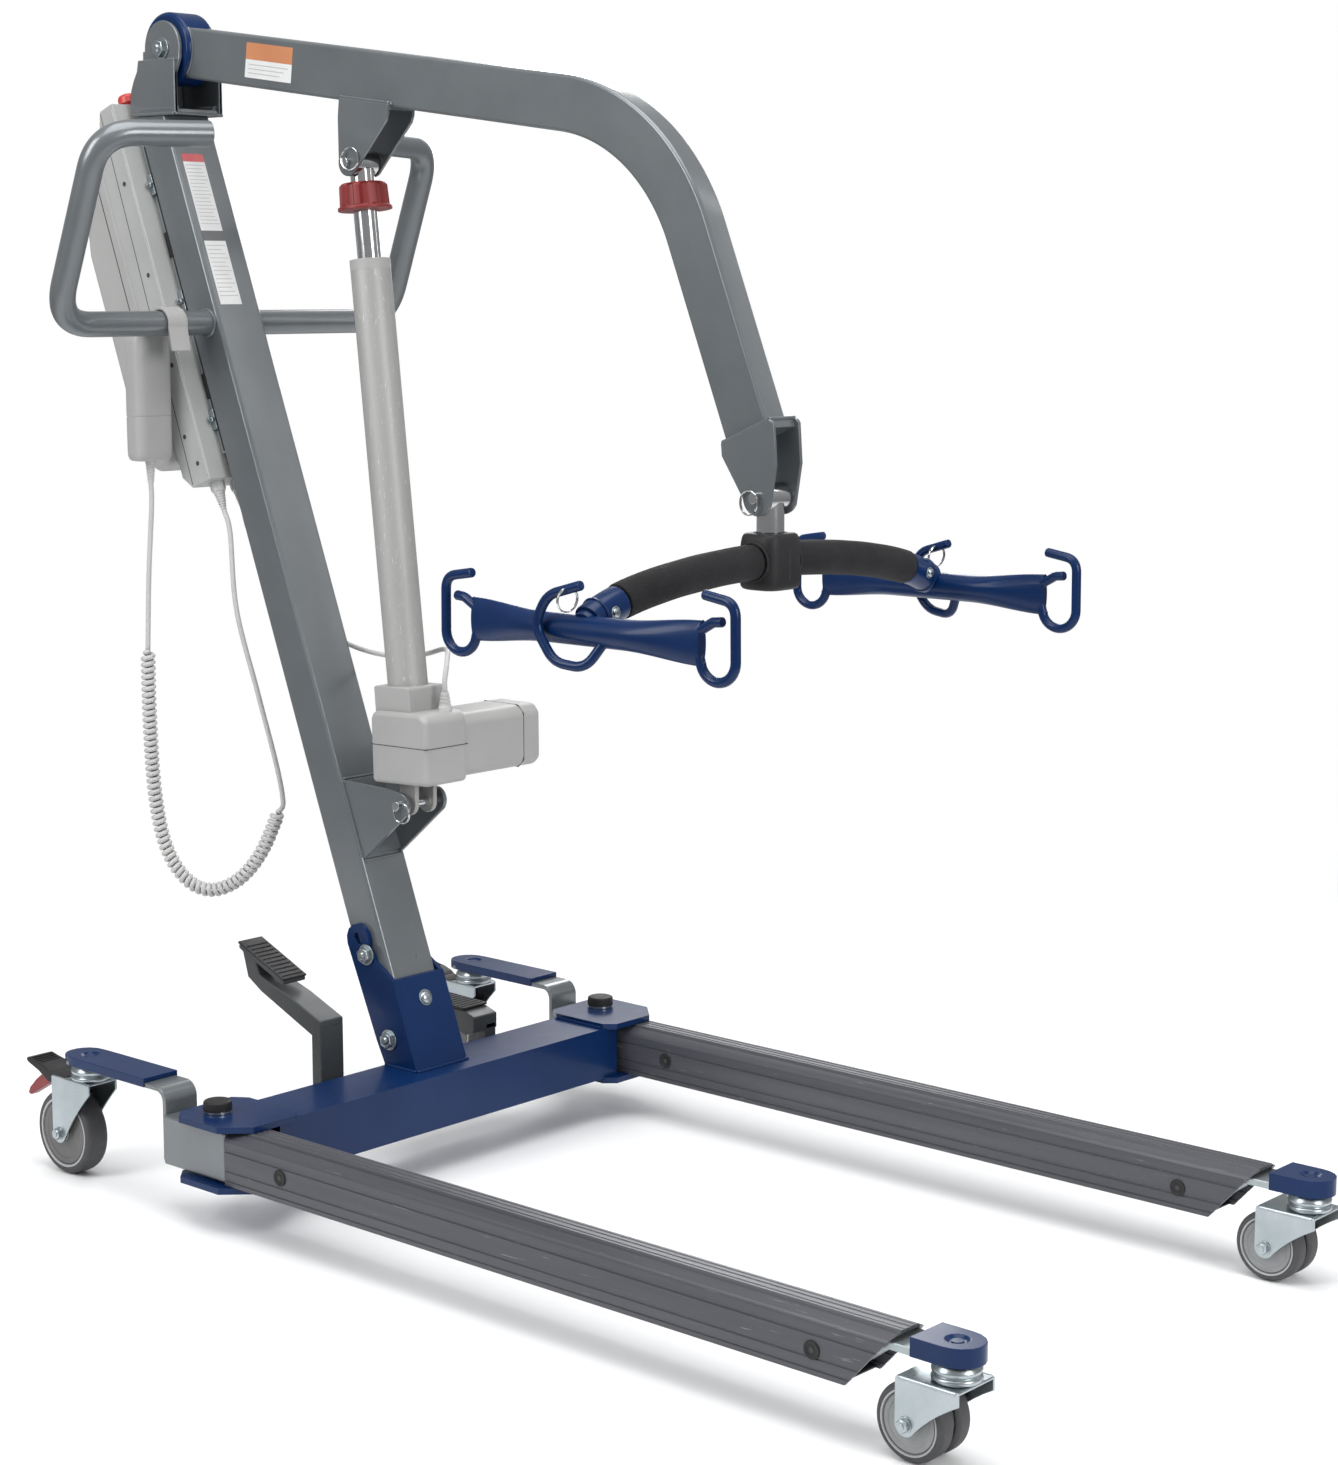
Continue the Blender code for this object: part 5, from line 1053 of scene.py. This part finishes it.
def caster(end, side, x, y, top, wheel_r, plate_x, trail, wheels):
    """Swivel fork under top, with its wheels' axle trail behind the stem."""
    ay, az = y + trail, wheel_r
    tag, rear = end + "_" + side, end == "rear"
    p = Piece("fork_" + tag, end + "_caster_" + side, ["caster_fork_" + tag], "zinc")
    hz = top - 0.0185
    prof = [(0, 0), (0, 0.019), (0.002, 0.0228), (0.0044, 0.0235), (0.0066, 0.0226), (0.0074, 0.0206),
            (0.0086, 0.0206), (0.0094, 0.0226), (0.0124, 0.0234), (0.0146, 0.0222), (0.0185, 0.0196), (0.0185, 0)]
    p.turned(ZINC, (x, y, hz), Z, prof, 0.001, 56)
    reach = 0.0238 if rear else trail + 0.01
    crown = [(y - 0.021, hz + 0.001), (y - 0.021, hz - 0.002), (y + reach, hz - 0.002), (y + reach, hz + 0.001)]
    p.put(prism("x", crown, x - plate_x - 0.0016, x + plate_x + 0.0016, 0.0011, 3), ZINC)
    for s in (-1, 1):
        a, b = sorted((x + s * plate_x, x + s * (plate_x + 0.0025)))
        leg = [(y - 0.0212, hz + 0.0004), (y - 0.0214, hz - 0.012)]
        q0, q1 = Vector((y - 0.0214, hz - 0.012, 0)), Vector((ay - 0.0104, az - 0.0048, 0))
        mid = (q0 + q1) / 2 + Vector((0.004, 0.003, 0))
        leg += [(q.x, q.y) for q in (q0.lerp(mid, t) * (1 - t) + mid.lerp(q1, t) * t for t in (0.2, 0.4, 0.6, 0.8))]
        leg += arc(ay, az, 0.0115, 205, 355, 16)
        leg += [(ay + 0.0115, hz - 0.003), (ay + 0.0108, hz - 0.0004), (ay + 0.0095, hz + 0.0004)]
        p.put(prism("x", leg, a, b, 0.0008, 3), ZINC)
        lip = [Vector((x + s * (plate_x + 0.0016), y - 0.019, hz - 0.0004)),
               Vector((x + s * (plate_x + 0.0016), ay + (0.008 if not rear else -0.014), hz - 0.0004))]
        p.put(tube(even(lip, 0.004), 0.002, 12, edge=0.001), ZINC)
        out = Vector((s, 0, 0))
        at = Vector((x + s * (plate_x + 0.0025), ay, az))
        p.put(disc(at, out, [(0, 0.0078), (0.001, 0.0078)], 0.0003), ZINC)
        p.put(hexagon(at + out * 0.001, out, 0.0118, 0.0046), ZINC)
        p.put(disc(at, out, [(0.005, 0.0034), (0.0068, 0.0031)], 0.0005, 24), ZINC)
    p.put(lathe((x - plate_x - 0.001, ay, az), X,
                [(0, 0), (0, 0.0046), (2 * plate_x + 0.002, 0.0046), (2 * plate_x + 0.002, 0)], 24), ZINC)
    p.turned(ZINC, (x, y, top - 0.001), Z, [(0, 0), (0, 0.0058), (0.0062, 0.0058), (0.0062, 0)], 0.0006, 24)
    p.done()
    for name, body, off, width in wheels:
        wheel(name, body, x + off, ay, az, wheel_r, width)


def casters():
    for s, side in SIDES:
        x = s * LEG_X
        twins = [("castor_wheel_front_%s_%s" % (n, side), "front_wheel_%s_%s" % (n, side), k * s * 0.0127, 0.0225)
                 for n, k in (("outer", 1), ("inner", -1))]
        caster("rear", side, x, REAR_Y, 0.137, 0.05, 0.018, 0.038,
               [("castor_wheel_rear_" + side, "rear_wheel_" + side, 0.0, 0.032)])
        caster("front", side, x, FRONT_Y, 0.099, 0.0375, 0.0255, 0.036, twins)
        brake(x, side)


def brake(x, side):
    p = Piece("brake_lever_" + side, "brake_" + side, ["brake_pedal_" + side], "black_plastic")
    lever = [(0.026, 0.112), (0.06, 0.1075), (0.078, 0.1172), (0.098, 0.1242), (0.1008, 0.1262), (0.1016, 0.129),
             (0.098, 0.1308), (0.085, 0.1282), (0.072, 0.1262), (0.06, 0.1222), (0.054, 0.118), (0.044, 0.1172),
             (0.026, 0.12)]
    p.put(prism("x", [(REAR_Y + y, z) for y, z in lever], x - 0.0175, x + 0.0175, 0.0016, 4), BLACK)
    d = Vector((0, 0.024, 0.005)).normalized()
    for k in range(4):
        c = Vector((x, REAR_Y + 0.078, 0.1272)) + d * (0.005 * k)
        p.put(tube([c - X * 0.0145, c, c + X * 0.0145], 0.001, 8, edge=0.0006), BLACK)
    tab = [(0.06, 0.1085), (0.092, 0.0905), (0.1115, 0.0795), (0.1162, 0.0815), (0.113, 0.0885), (0.1, 0.1008),
           (0.078, 0.1165)]
    p.put(prism("x", [(REAR_Y + y, z) for y, z in tab], x - 0.006, x + 0.006, 0.0014, 3), RED)
    p.done()


# ================================ pedal and linkage ==============================================
def pedal():
    p = Piece("leg_pedal", "pedal", ["spreader_pedal"], "pedal_grey")
    p.put(block(-0.118, 0.15, 0.044, 0.06, 0.08, 0.1, 0.0016, 3), PEDAL)
    p.put(block(-0.12, -0.084, 0.0442, 0.0608, 0.081, 0.174, 0.002, 3), PEDAL)
    ramp = [(0.0442, 0.181), (0.0442, 0.172), (0.0608, 0.162), (0.15, 0.2), (0.1735, 0.214), (0.182, 0.2435),
            (0.189, 0.247), (0.189, 0.2525), (0.109, 0.219), (0.11, 0.214), (0.158, 0.2335), (0.152, 0.219),
            (0.1, 0.203)]
    p.put(prism("x", ramp, -0.1198, -0.0842, 0.0018, 3), PEDAL)
    p.put(block(0.15, 0.168, 0.0442, 0.0608, 0.081, 0.126, 0.0016, 3), PEDAL)
    ramp_r = [(0.0442, 0.118), (0.061, 0.112), (0.1, 0.124), (0.171, 0.136), (0.171, 0.146), (0.062, 0.143),
              (0.0442, 0.137)]
    p.put(prism("x", ramp_r, 0.13, 0.17, 0.0016, 3), PEDAL)
    # rubber pads with ribs on both treads
    for x0, x1, a, b in ((-0.1205, -0.0835, Vector((0, 0.1085, 0.2205)), Vector((0, 0.1895, 0.2545))),
                         (0.129, 0.171, Vector((0, 0.062, 0.1452)), Vector((0, 0.1715, 0.1482)))):
        d = (b - a).normalized()
        n = Vector((0, -d.z, d.y))
        pad = [a - n * 0.0016, b - n * 0.0016, b + n * 0.0014, a + n * 0.0014]
        p.put(prism("x", [(q.y, q.z) for q in pad], x0, x1, 0.0012, 3), BLACK)
        for k in range(int(((b - a).length - 0.008) / 0.0075)):
            c = a + d * (0.006 + 0.0075 * k) + n * 0.0014
            p.put(tube([c + X * x for x in (x0 + 0.003, (x0 + x1) / 2, x1 - 0.003)], 0.0009, 8, edge=0.0005), BLACK)
    p.turned(ZINC, (0, -0.045, 0.088), Y,
             [(0, 0), (0, 0.008), (0.053, 0.008), (0.053, 0.0118), (0.0595, 0.0118), (0.0595, 0.008),
              (0.0653, 0.008), (0.0653, 0.0124), (0.091, 0.0124), (0.091, 0)], 0.0004, 36)
    p.put(block(-0.006, 0.006, -0.034, -0.028, 0.064, 0.1115, 0.0008), ZINC)
    p.put(weld_round((0, 0.0438, 0.088), Y, 0.0126, 0.0016), PEDAL)
    p.put(weld([(-0.1195, 0.052, 0.1008), (-0.0845, 0.052, 0.1008)], 0.0014), PEDAL)
    p.done()
    for s, side in SIDES:
        z = 0.106 if s < 0 else 0.07
        x1 = s * (LEG_X - 0.0475)
        q = Piece("link_rod_" + side, "tie_rod_" + side, ["tie_rod_" + side], "zinc")
        q.put(tube([(s * 0.012, -0.031, z), (s * 0.1, -0.031, z), (x1 - s * 0.012, -0.031, z)], 0.0038, 16), ZINC)
        q.put(block(*sorted((s * 0.0095, s * 0.02)), -0.0355, -0.0265, z - 0.0045, z + 0.0045, 0.001, 3), ZINC)
        q.put(block(*sorted((x1 - s * 0.016, x1 + s * 0.0015)), -0.0365, -0.0255, z - 0.005, z + 0.005, 0.001, 3),
              ZINC)
        q.done()


# ================================ boom ===========================================================
BOOM_HALF_X, BOOM_HALF, BOOM_BEND, BEND_STEPS = 0.016, 0.03, 0.225, 36


def boom_rows():
    """Lower and upper edge of the boom in (y, z), and the direction of its straight rear part."""
    corner = Vector((-0.3814, 1.2052))
    d1 = (Vector((0.3665, 1.3065)) - corner).normalized()
    d2 = (Vector((-0.517, 0.876)) - corner).normalized()
    half = d1.angle(d2) / 2
    centre = corner + (d1 + d2).normalized() * (BOOM_BEND / sin(half))
    normals = []
    for d in (d1, d2):
        n = Vector((-d.y, d.x))
        normals.append(-n if (centre - corner).dot(n) < 0 else n)
    n1, n2 = normals
    start, end = Vector((PIV.y - 0.02, 0)), Vector((-0.514, 0.879))
    start.y = corner.y + (start.x - corner.x) * d1.y / d1.x
    a0, a1 = atan2(-n1.y, -n1.x), atan2(-n2.y, -n2.x)
    if a1 < a0:
        a1 += 2 * pi
    turns = [a0 + (a1 - a0) * i / BEND_STEPS for i in range(BEND_STEPS + 1)]
    rows = []
    for h in (-BOOM_HALF, BOOM_HALF):
        arch = [centre + Vector((cos(t), sin(t))) * (BOOM_BEND - h) for t in turns]
        rows.append([start + n1 * h] + arch + [end + n2 * h])
    return rows[0], rows[1], d1


def boom():
    p = Piece("boom_tube", "boom", ["boom"], "grey_coat")
    lows, highs, d1 = boom_rows()
    w, r = BOOM_HALF_X, 0.0036
    # square tube with rounded corners, section by section
    sect, rings = [], []
    for cx, cz, a0 in ((w - r, 1, 0), (-w + r, 1, 90), (-w + r, -1, 180), (w - r, -1, 270)):
        for k in range(6):
            a = radians(a0 + 18 * k)
            sect.append((cx + r * cos(a), cz, r * sin(a)))
    for lo, hi in zip(lows, highs):
        mid, half = (lo + hi) / 2, (hi - lo) / 2
        u = half.normalized()
        rings.append([(x, *(mid + u * (c * (half.length - r) + dz))) for x, c, dz in sect])
    p.put(loft(rings), GREY)
    # tip closing bead and the beads where the tube meets the hub
    low_tip, high_tip = lows[-1], highs[-1]
    tip = [Vector((x, *q)) for x, q in ((-w, low_tip), (w, low_tip), (w, high_tip), (-w, high_tip), (-w, low_tip))]
    p.put(weld(tip, 0.0017), GREY)
    for s in (-1, 1):
        lo = [Vector((s * (w + 0.0002), PIV.y - 0.0434 * cos(radians(t)),
                      PIV.z - 0.0434 * sin(radians(t)) - 0.0005)) for t in range(-34, 50, 6)]
        p.put(weld(lo, 0.0018), GREY)
    # hub: blue barrel with softened rims and bushes
    hub = [(-0.0228, 0.01), (-0.0228, 0.0395), (-0.0206, 0.0428), (-0.018, 0.0437), (0.018, 0.0437),
           (0.0206, 0.0428), (0.0228, 0.0395), (0.0228, 0.01)]
    p.turned(NAVY, PIV, X, [(-0.0228, 0)] + hub + [(0.0228, 0)], 0.001, 72)
    for s in (-1, 1):
        p.put(disc(PIV + Vector((s * 0.0222, 0, 0)), (s, 0, 0), [(0, 0.013), (0.001, 0.013)], 0.0003, 32), BLACK)
    # actuator bracket: folded plate with a round-nosed flange on each side
    web = [(0.094, 1.2425), (0.012, 1.232), (0.0125, 1.2255), (0.094, 1.236)]
    p.put(prism("x", web, -0.021, 0.021, 0.0008), GREY)
    for s in (-1, 1):
        ear = [(0.094, 1.2425), (0.012, 1.232), (0.0128, 1.221), (0.016, 1.213)]
        ear += arc(UP.y, UP.z, 0.0155, 215, 375, 18) + [(0.0965, 1.22)]
        p.plate(GREY, ear, s, 0.0175, 0.0215, 0.001, 3)
        p.put(weld([(s * 0.017, 0.014, 1.2332), (s * 0.017, 0.093, 1.2433)], 0.002), GREY)
    for y, z in ((0.0118, 1.2326), (0.0946, 1.2432)):
        p.put(weld([(-0.0185, y, z), (0.0185, y, z)], 0.0022), GREY)
    ring_pin(p, UP - X * 0.027, 0.0475, 0.0495, 0.0088)
    p.put(split_ring(UP + Vector((-0.025, -0.008, 0.004)), (1, 0.15, 0), 0.0125, start=1.1), CHROME)
    # tip clevis
    tip_web = [(-0.4845, 0.87), (-0.547, 0.8955), (-0.55, 0.887), (-0.488, 0.8615)]
    p.put(prism("x", tip_web, -0.0222, 0.0222, 0.0009), GREY)
    for s in (-1, 1):
        t = [(-0.484, 0.87), (-0.4852, 0.856)] + arc(TIP.y, TIP.z, 0.019, -5, -155, 18)
        t += [(-0.5575, 0.85), (-0.5545, 0.8915), (-0.552, 0.8945), (-0.548, 0.896)]
        p.plate(GREY, t, s, 0.018, 0.0225, 0.0012, 3)
        p.put(weld([(s * 0.0205, -0.487, 0.8706), (s * 0.0205, -0.546, 0.8957)], 0.0021), GREY)
    p.put(weld([(-0.0205, -0.485, 0.8705), (0.0205, -0.485, 0.8705)], 0.0021), GREY)
    p.put(weld([(-0.0205, -0.547, 0.8962), (0.0205, -0.547, 0.8962)], 0.0021), GREY)
    # small drain holes on the underside, drawn as discs of painted shade
    for t in (0.3, 0.62):
        c = highs[0].lerp(highs[1], t) if highs[0].y < lows[0].y else lows[0].lerp(lows[1], t)
        p.put(disc((0, c.x, c.y + 0.0002), -Z, [(0, 0.004), (0.0006, 0.0036)], 0.0002, 20), SHADE)
    p.done()

    lab = Piece("boom_label", "boom", (), "grey_coat")

    def strip(s, y0, y1, h0, h1, mat, lift):
        def at(y, h):
            start = (lows[0] + highs[0]) / 2
            up = Vector((-d1.y, d1.x))
            return start + d1 * ((y - start.x) / d1.x) + (up if up.y > 0 else -up) * h
        corners = [at(y, h) for y, h in ((y0, h0), (y1, h0), (y1, h1), (y0, h1))]
        lab.put(slip([Vector((s * (w + lift), *q)) for q in corners],
                     [Vector((s * (w - 0.0002), *q)) for q in corners]), mat)
    for s in (-1, 1):
        strip(s, 0.18, 0.262, -0.019, 0.004, LABEL, 0.00025)
        strip(s, 0.18, 0.262, 0.002, 0.0215, LABEL_ORANGE, 0.0003)
        for k in range(3):
            strip(s, 0.186 + 0.007 * k, 0.256, -0.004 - 0.005 * k, -0.003 - 0.005 * k, LABEL_LINE, 0.00035)
    lab.done()

    p = Piece("hanger_pin_set", "boom", ["hanger_pin"], "chrome")
    ring_pin(p, TIP - X * 0.029, 0.052, 0.0555, 0.009)
    p.put(split_ring(TIP + Vector((-0.0268, 0.007, -0.005)), (1, -0.12, 0), 0.0125, start=2.0), CHROME)
    p.done()


# ================================ actuator =======================================================
def actuator():
    p = Piece("actuator_case", "actuator", ["actuator_body"], "light_case")
    p.turned(ALU, along(0.11), AX,
             [(0, 0), (0, 0.0235), (0.5225, 0.0235), (0.5225, 0.015), (0.515, 0.015)], 0.0012, 64)
    # end cap ring and wiper at the tube's mouth
    p.turned(CASE, along(0.11), AX,
             [(0.51, 0.023), (0.51, 0.0237), (0.5224, 0.0236), (0.5226, 0.0152), (0.52, 0.0152)], 0.0006, 64)
    p.put(lathe(along(0.11), AX,
                [(0.519, 0.0152), (0.5222, 0.0152), (0.5222, 0.0146), (0.519, 0.0146), (0.519, 0.0152)], 48), BLACK)
    # collar casting between tube and gearbox
    neck = [(0.0412, 0.534), (-0.0182, 0.536), (-0.015, 0.568), (-0.0132, 0.57), (0.042, 0.568), (0.044, 0.566)]
    p.put(prism("x", neck, -0.0278, 0.0278, 0.003, 4), CASE)
    gear = [(0.0415, 0.4545), (-0.0515, 0.4585), (-0.0515, 0.5355), (-0.04, 0.5425), (0.0395, 0.5395),
            (0.0435, 0.53)]
    p.put(prism("x", gear, -0.0355, 0.0315, 0.006, 5), CASE)
    motor = [(0.0295, 0.468), (0.02, 0.4605), (-0.036, 0.4605), (-0.0455, 0.47), (-0.0455, 0.526),
             (-0.036, 0.5355), (0.02, 0.5355), (0.0295, 0.526)]
    p.put(prism("x", motor, 0.0285, 0.1595, 0.0055, 5), CASE)
    # split line round the housing and end cap seams as strips of painted shade, then the end cap ring, screws with
    # painted shade at their centres, and ribs
    seam = [(0.0418, 0.5), (-0.052, 0.502), (-0.052, 0.5028), (0.0418, 0.5008)]
    p.put(prism("x", seam, -0.0359, 0.0319, 0.0002), SHADE)
    for x in (0.0325, 0.13):
        ring = [(a * 1.006 - 0.00005, 0.498 + (b - 0.498) * 1.006) for a, b in motor]
        p.put(prism("x", ring, x, x + 0.0009, 0.0002), SHADE)
    ring = [(-0.008 + (a + 0.008) * 0.9, 0.498 + (b - 0.498) * 0.9) for a, b in motor]
    p.put(prism("x", ring, 0.159, 0.1599, 0.0004), CASE_DARK)
    for y, z in ((0.018, 0.47), (0.018, 0.526), (-0.034, 0.47), (-0.034, 0.526)):
        p.put(disc((0.1594, y, z), X, [(0, 0.0034), (0.0012, 0.0032)], 0.0003, 20), CASE)
        p.put(disc((0.1604, y, z), X, [(0, 0.0018), (0.0004, 0.0018)], 0.0001, 6), SHADE)
    for s in (-1, 1):
        lug = [(0.014, 0.458), (-0.014, 0.459)] + arc(LOW.y, LOW.z, 0.0135, 180, 360, 18)
        p.plate(ALU, lug, s, 0.0115, 0.0175, 0.0012, 3)
    relief = ribbed(4, 0.0072, 0.004, lambda k: 0.007 - 0.0006 * k, 0.0022, 0.0036, 0.0011)
    p.put(lathe((0.012, -0.0345, 0.5405), Z,
                [(0, 0), (0, 0.0084), (0.006, 0.008)] + relief + [(0.024, 0.0042), (0.024, 0)], 28), CORD)
    p.done()

    p = Piece("actuator_rod_set", "actuator_rod", ["actuator_rod"], "chrome")
    p.turned(CHROME, along(0.2), AX, [(0, 0), (0, 0.0139), (LENGTH - 0.207, 0.0139), (LENGTH - 0.207, 0)], 0.0006,
             48)
    p.turned(SHADE, along(LENGTH - 0.023), AX, [(0, 0.0138), (0, 0.01395), (0.001, 0.01395), (0.001, 0.0138)],
             0.0001, 48)
    eye(p, UP, 0.0166, 0.0139, 40)
    p.done()

    p = Piece("release_ring", "collar", ["release_collar"], "red_plastic")
    prof = soften([(0, 0.0148), (0, 0.0315), (0.004, 0.0315), (0.0052, 0.0278), (0.028, 0.0268), (0.031, 0.0252),
                   (0.0312, 0.0148)], 0.0011, 4)

    def grip(k, t):
        h, r = prof[k]
        if 0.0052 < h < 0.0296 and r > 0.02:
            c = cos(t * 9)
            return 1 + 0.07 * (1 if c > 0.25 else (-1 if c < -0.25 else c * 4)) - 0.03
        return 1
    p.put(lathe(along(LENGTH - 0.054), AX, prof, 108, wobble=grip), RED)
    p.put(lathe(along(LENGTH - 0.054), AX,
                [(0.0006, 0.015), (0.031, 0.015), (0.031, 0.0145), (0.0006, 0.0145), (0.0006, 0.015)], 40), SHADE)
    p.done()


# ================================ hanger =========================================================
BAR_HALF, ARM_HALF, ARM_Z, HOOK_R = 0.28, 0.15, 0.702, 0.005


def hanger_z(x):
    """Height of the bowed bar's centre line, which drops into the cross arms at its ends."""
    return 0.75 - 0.41 * x * x - 0.011 * (abs(x) / BAR_HALF) ** 8


def hanger():
    p = Piece("hanger_swivel_stem", "hanger_yoke", ["hanger_yoke"], "chrome")
    eye(p, TIP, 0.017, 0.0149, 48)
    stem = soften([(0, 0), (0, 0.013), (0.003, 0.0144), (0.036, 0.0144), (0.0365, 0.0138), (0.0385, 0.0138),
                   (0.039, 0.0144), (0.0465, 0.0144), (0.0465, 0.0188), (0.0498, 0.0188), (0.0498, 0)], 0.0005)
    p.put(lathe(TIP - Vector((0, 0, 0.002)), -Z, stem, 48), CHROME)
    p.done()

    p = Piece("hanger_boot_shell", "spreader", ["hanger_boot"], "black_plastic")
    ty = TIP.y
    # boot: rounded block whose section swells over the bar
    levels = [(0.7198, 0.6, 0.55), (0.72, 0.8, 0.78), (0.7212, 0.92, 0.9), (0.724, 0.985, 0.975), (0.729, 1, 1),
              (0.745, 1, 1), (0.764, 0.99, 0.99), (0.77, 0.965, 0.965), (0.774, 0.93, 0.94), (0.7768, 0.87, 0.9),
              (0.7783, 0.78, 0.82), (0.7785, 0.6, 0.68)]
    p.put(loft([oblong(0, ty, z, 0.028 * a, 0.026 * b, 0.55, 48) for z, a, b in levels]), BLACK)
    p.turned(BLACK, (0, ty, 0.7772), Z,
             [(0, 0.015), (0, 0.0178), (0.002, 0.0172), (0.002, 0.0152), (0, 0.015)], 0.0004, 48)
    for s in (-1, 1):
        c = Vector((s * 0.0275, ty, hanger_z(0.0275)))
        p.turned(BLACK, c - Vector((s * 0.002, 0, 0)), (s, 0, 0),
                 [(0, 0.0188), (0, 0.0208), (0.003, 0.0206), (0.0034, 0.019), (0, 0.0188)], 0.0006, 48)
        p.plate(SHADE, [(ty - 0.0262, 0.73), (ty - 0.0254, 0.73), (ty - 0.0254, 0.765), (ty - 0.0262, 0.765)], s,
                0.001, 0.0016, 0.0001)
    p.done()
    for s, side in SIDES:
        p = Piece("hanger_sleeve_" + side, "spreader", ["hanger_grip_" + side], "black_foam")
        xs = [s * (0.0293 + (0.231 - 0.0293) * i / 30) for i in range(31)]
        radii = [0.0185 + 0.00025 * noise.noise(Vector((x * 31, 3.1, 0))) for x in xs]
        p.put(tube([(x, ty, hanger_z(x)) for x in xs], radii, 40, edge=0.0024), FOAM)
        p.done()

    p = Piece("spreader_frame", "spreader", ["spreader_bar"], "navy_coat")
    xs = [-BAR_HALF + 2 * BAR_HALF * i / 56 for i in range(57)]
    p.put(tube([(x, ty, hanger_z(x)) for x in xs], 0.0138, 32), NAVY)
    for s in (-1, 1):
        x, z = s * BAR_HALF, ARM_Z
        ends = [0.2325, 0.24, 0.248, 0.256, 0.264]
        p.put(tube([(s * a, ty, hanger_z(a)) for a in ends] + [(s * 0.274, ty, hanger_z(0.274))], 0.0172, 40,
                   edge=0.001), NAVY)
        p.put(weld_round((s * 0.264, ty, hanger_z(0.264)), (1, 0, -0.22 * s), 0.0174, 0.0016), NAVY)
        ys = [ty + ARM_HALF * (-1 + 2 * i / 40) for i in range(41)]
        flat = []
        for y in ys:
            k = max(0.0, (abs(y - ty) / ARM_HALF - 0.35) / 0.65)
            k = k * k * (3 - 2 * k)
            flat.append((1 + 0.45 * k, 1 - 0.6 * k))
        p.put(tube([(x, y, z) for y in ys], 0.015, 36, flat=flat, edge=0.0012), NAVY)
        for t in (-1, 1):
            ye = ty + t * ARM_HALF
            loop = [Vector((x, ye - t * 0.004, z - 0.01))]
            loop += [Vector((x, ye + t * (0.0195 - 0.0215 * cos(radians(a))),
                             z - 0.0145 - 0.0205 * sin(radians(a)))) for a in range(20, 181, 10)]
            top = [loop[-1], Vector((x, ye + t * 0.0405, z + 0.04)), Vector((x, ye + t * 0.002, z + 0.046))]
            p.put(tube(loop[:-1] + fillet(top, 0.016, 10), HOOK_R, 18, edge=0.0018), NAVY)
            stub = [(x, ye - t * 0.006, z + 0.01), (x, ye + t * 0.014, z + 0.021), (x, ye + t * 0.026, z + 0.022)]
            p.put(tube(fillet(stub, 0.01, 6), HOOK_R, 18, edge=0.0018), NAVY)
            p.put(weld([(x - 0.0018, ye - t * 0.004, z - 0.0185), (x, ye + t * 0.003, z - 0.019),
                        (x + 0.0018, ye - t * 0.004, z - 0.0185)], 0.0026), NAVY)
            p.put(weld([(x, ye - t * 0.009, z + 0.019), (x, ye + t * 0.0015, z + 0.02)], 0.0024), NAVY)
        xo = x + s * 0.012
        loop = [(xo - s * 0.006, ty - 0.03, z - 0.01), (xo + s * 0.004, ty - 0.016, z - 0.034),
                (xo + s * 0.01, ty + 0.02, z - 0.03), (xo + s * 0.01, ty + 0.046, z + 0.004),
                (xo + s * 0.008, ty + 0.03, z + 0.034), (xo + s * 0.004, ty - 0.012, z + 0.046)]
        p.put(tube(fillet(loop, 0.03, 14), HOOK_R, 18, edge=0.0018), NAVY)
        c = Vector((xo + s * 0.0052, ty + 0.006, z + 0.0405))
        p.put(split_ring(c - Vector((0, 0, 0.0098)), (0.2, 1, 0.1), 0.0118, start=0.9), CHROME)
        sc = Vector((s * 0.254, ty - 0.0166, hanger_z(0.254)))
        p.put(disc(sc, -Y, [(0, 0.0062), (0.0012, 0.0062)], 0.0003, 28), ZINC)
        p.put(lathe(sc, -Y, [(0.001, 0), (0.001, 0.0048), (0.003, 0.0044), (0.0042, 0.003), (0.0044, 0)],
                    28), ZINC)
        p.put(block(sc.x - 0.0026, sc.x + 0.0026, sc.y - 0.0046, sc.y - 0.004, sc.z - 0.0004, sc.z + 0.0004,
                    0.0001), SHADE)
    p.done()


# ================================ assemble =======================================================
base_frame()
leg_pivots()
mast()
handles()
controls()
cords(*handset())
for s_, side_ in SIDES:
    leg_set(s_, side_)
casters()
pedal()
boom()
actuator()
hanger()
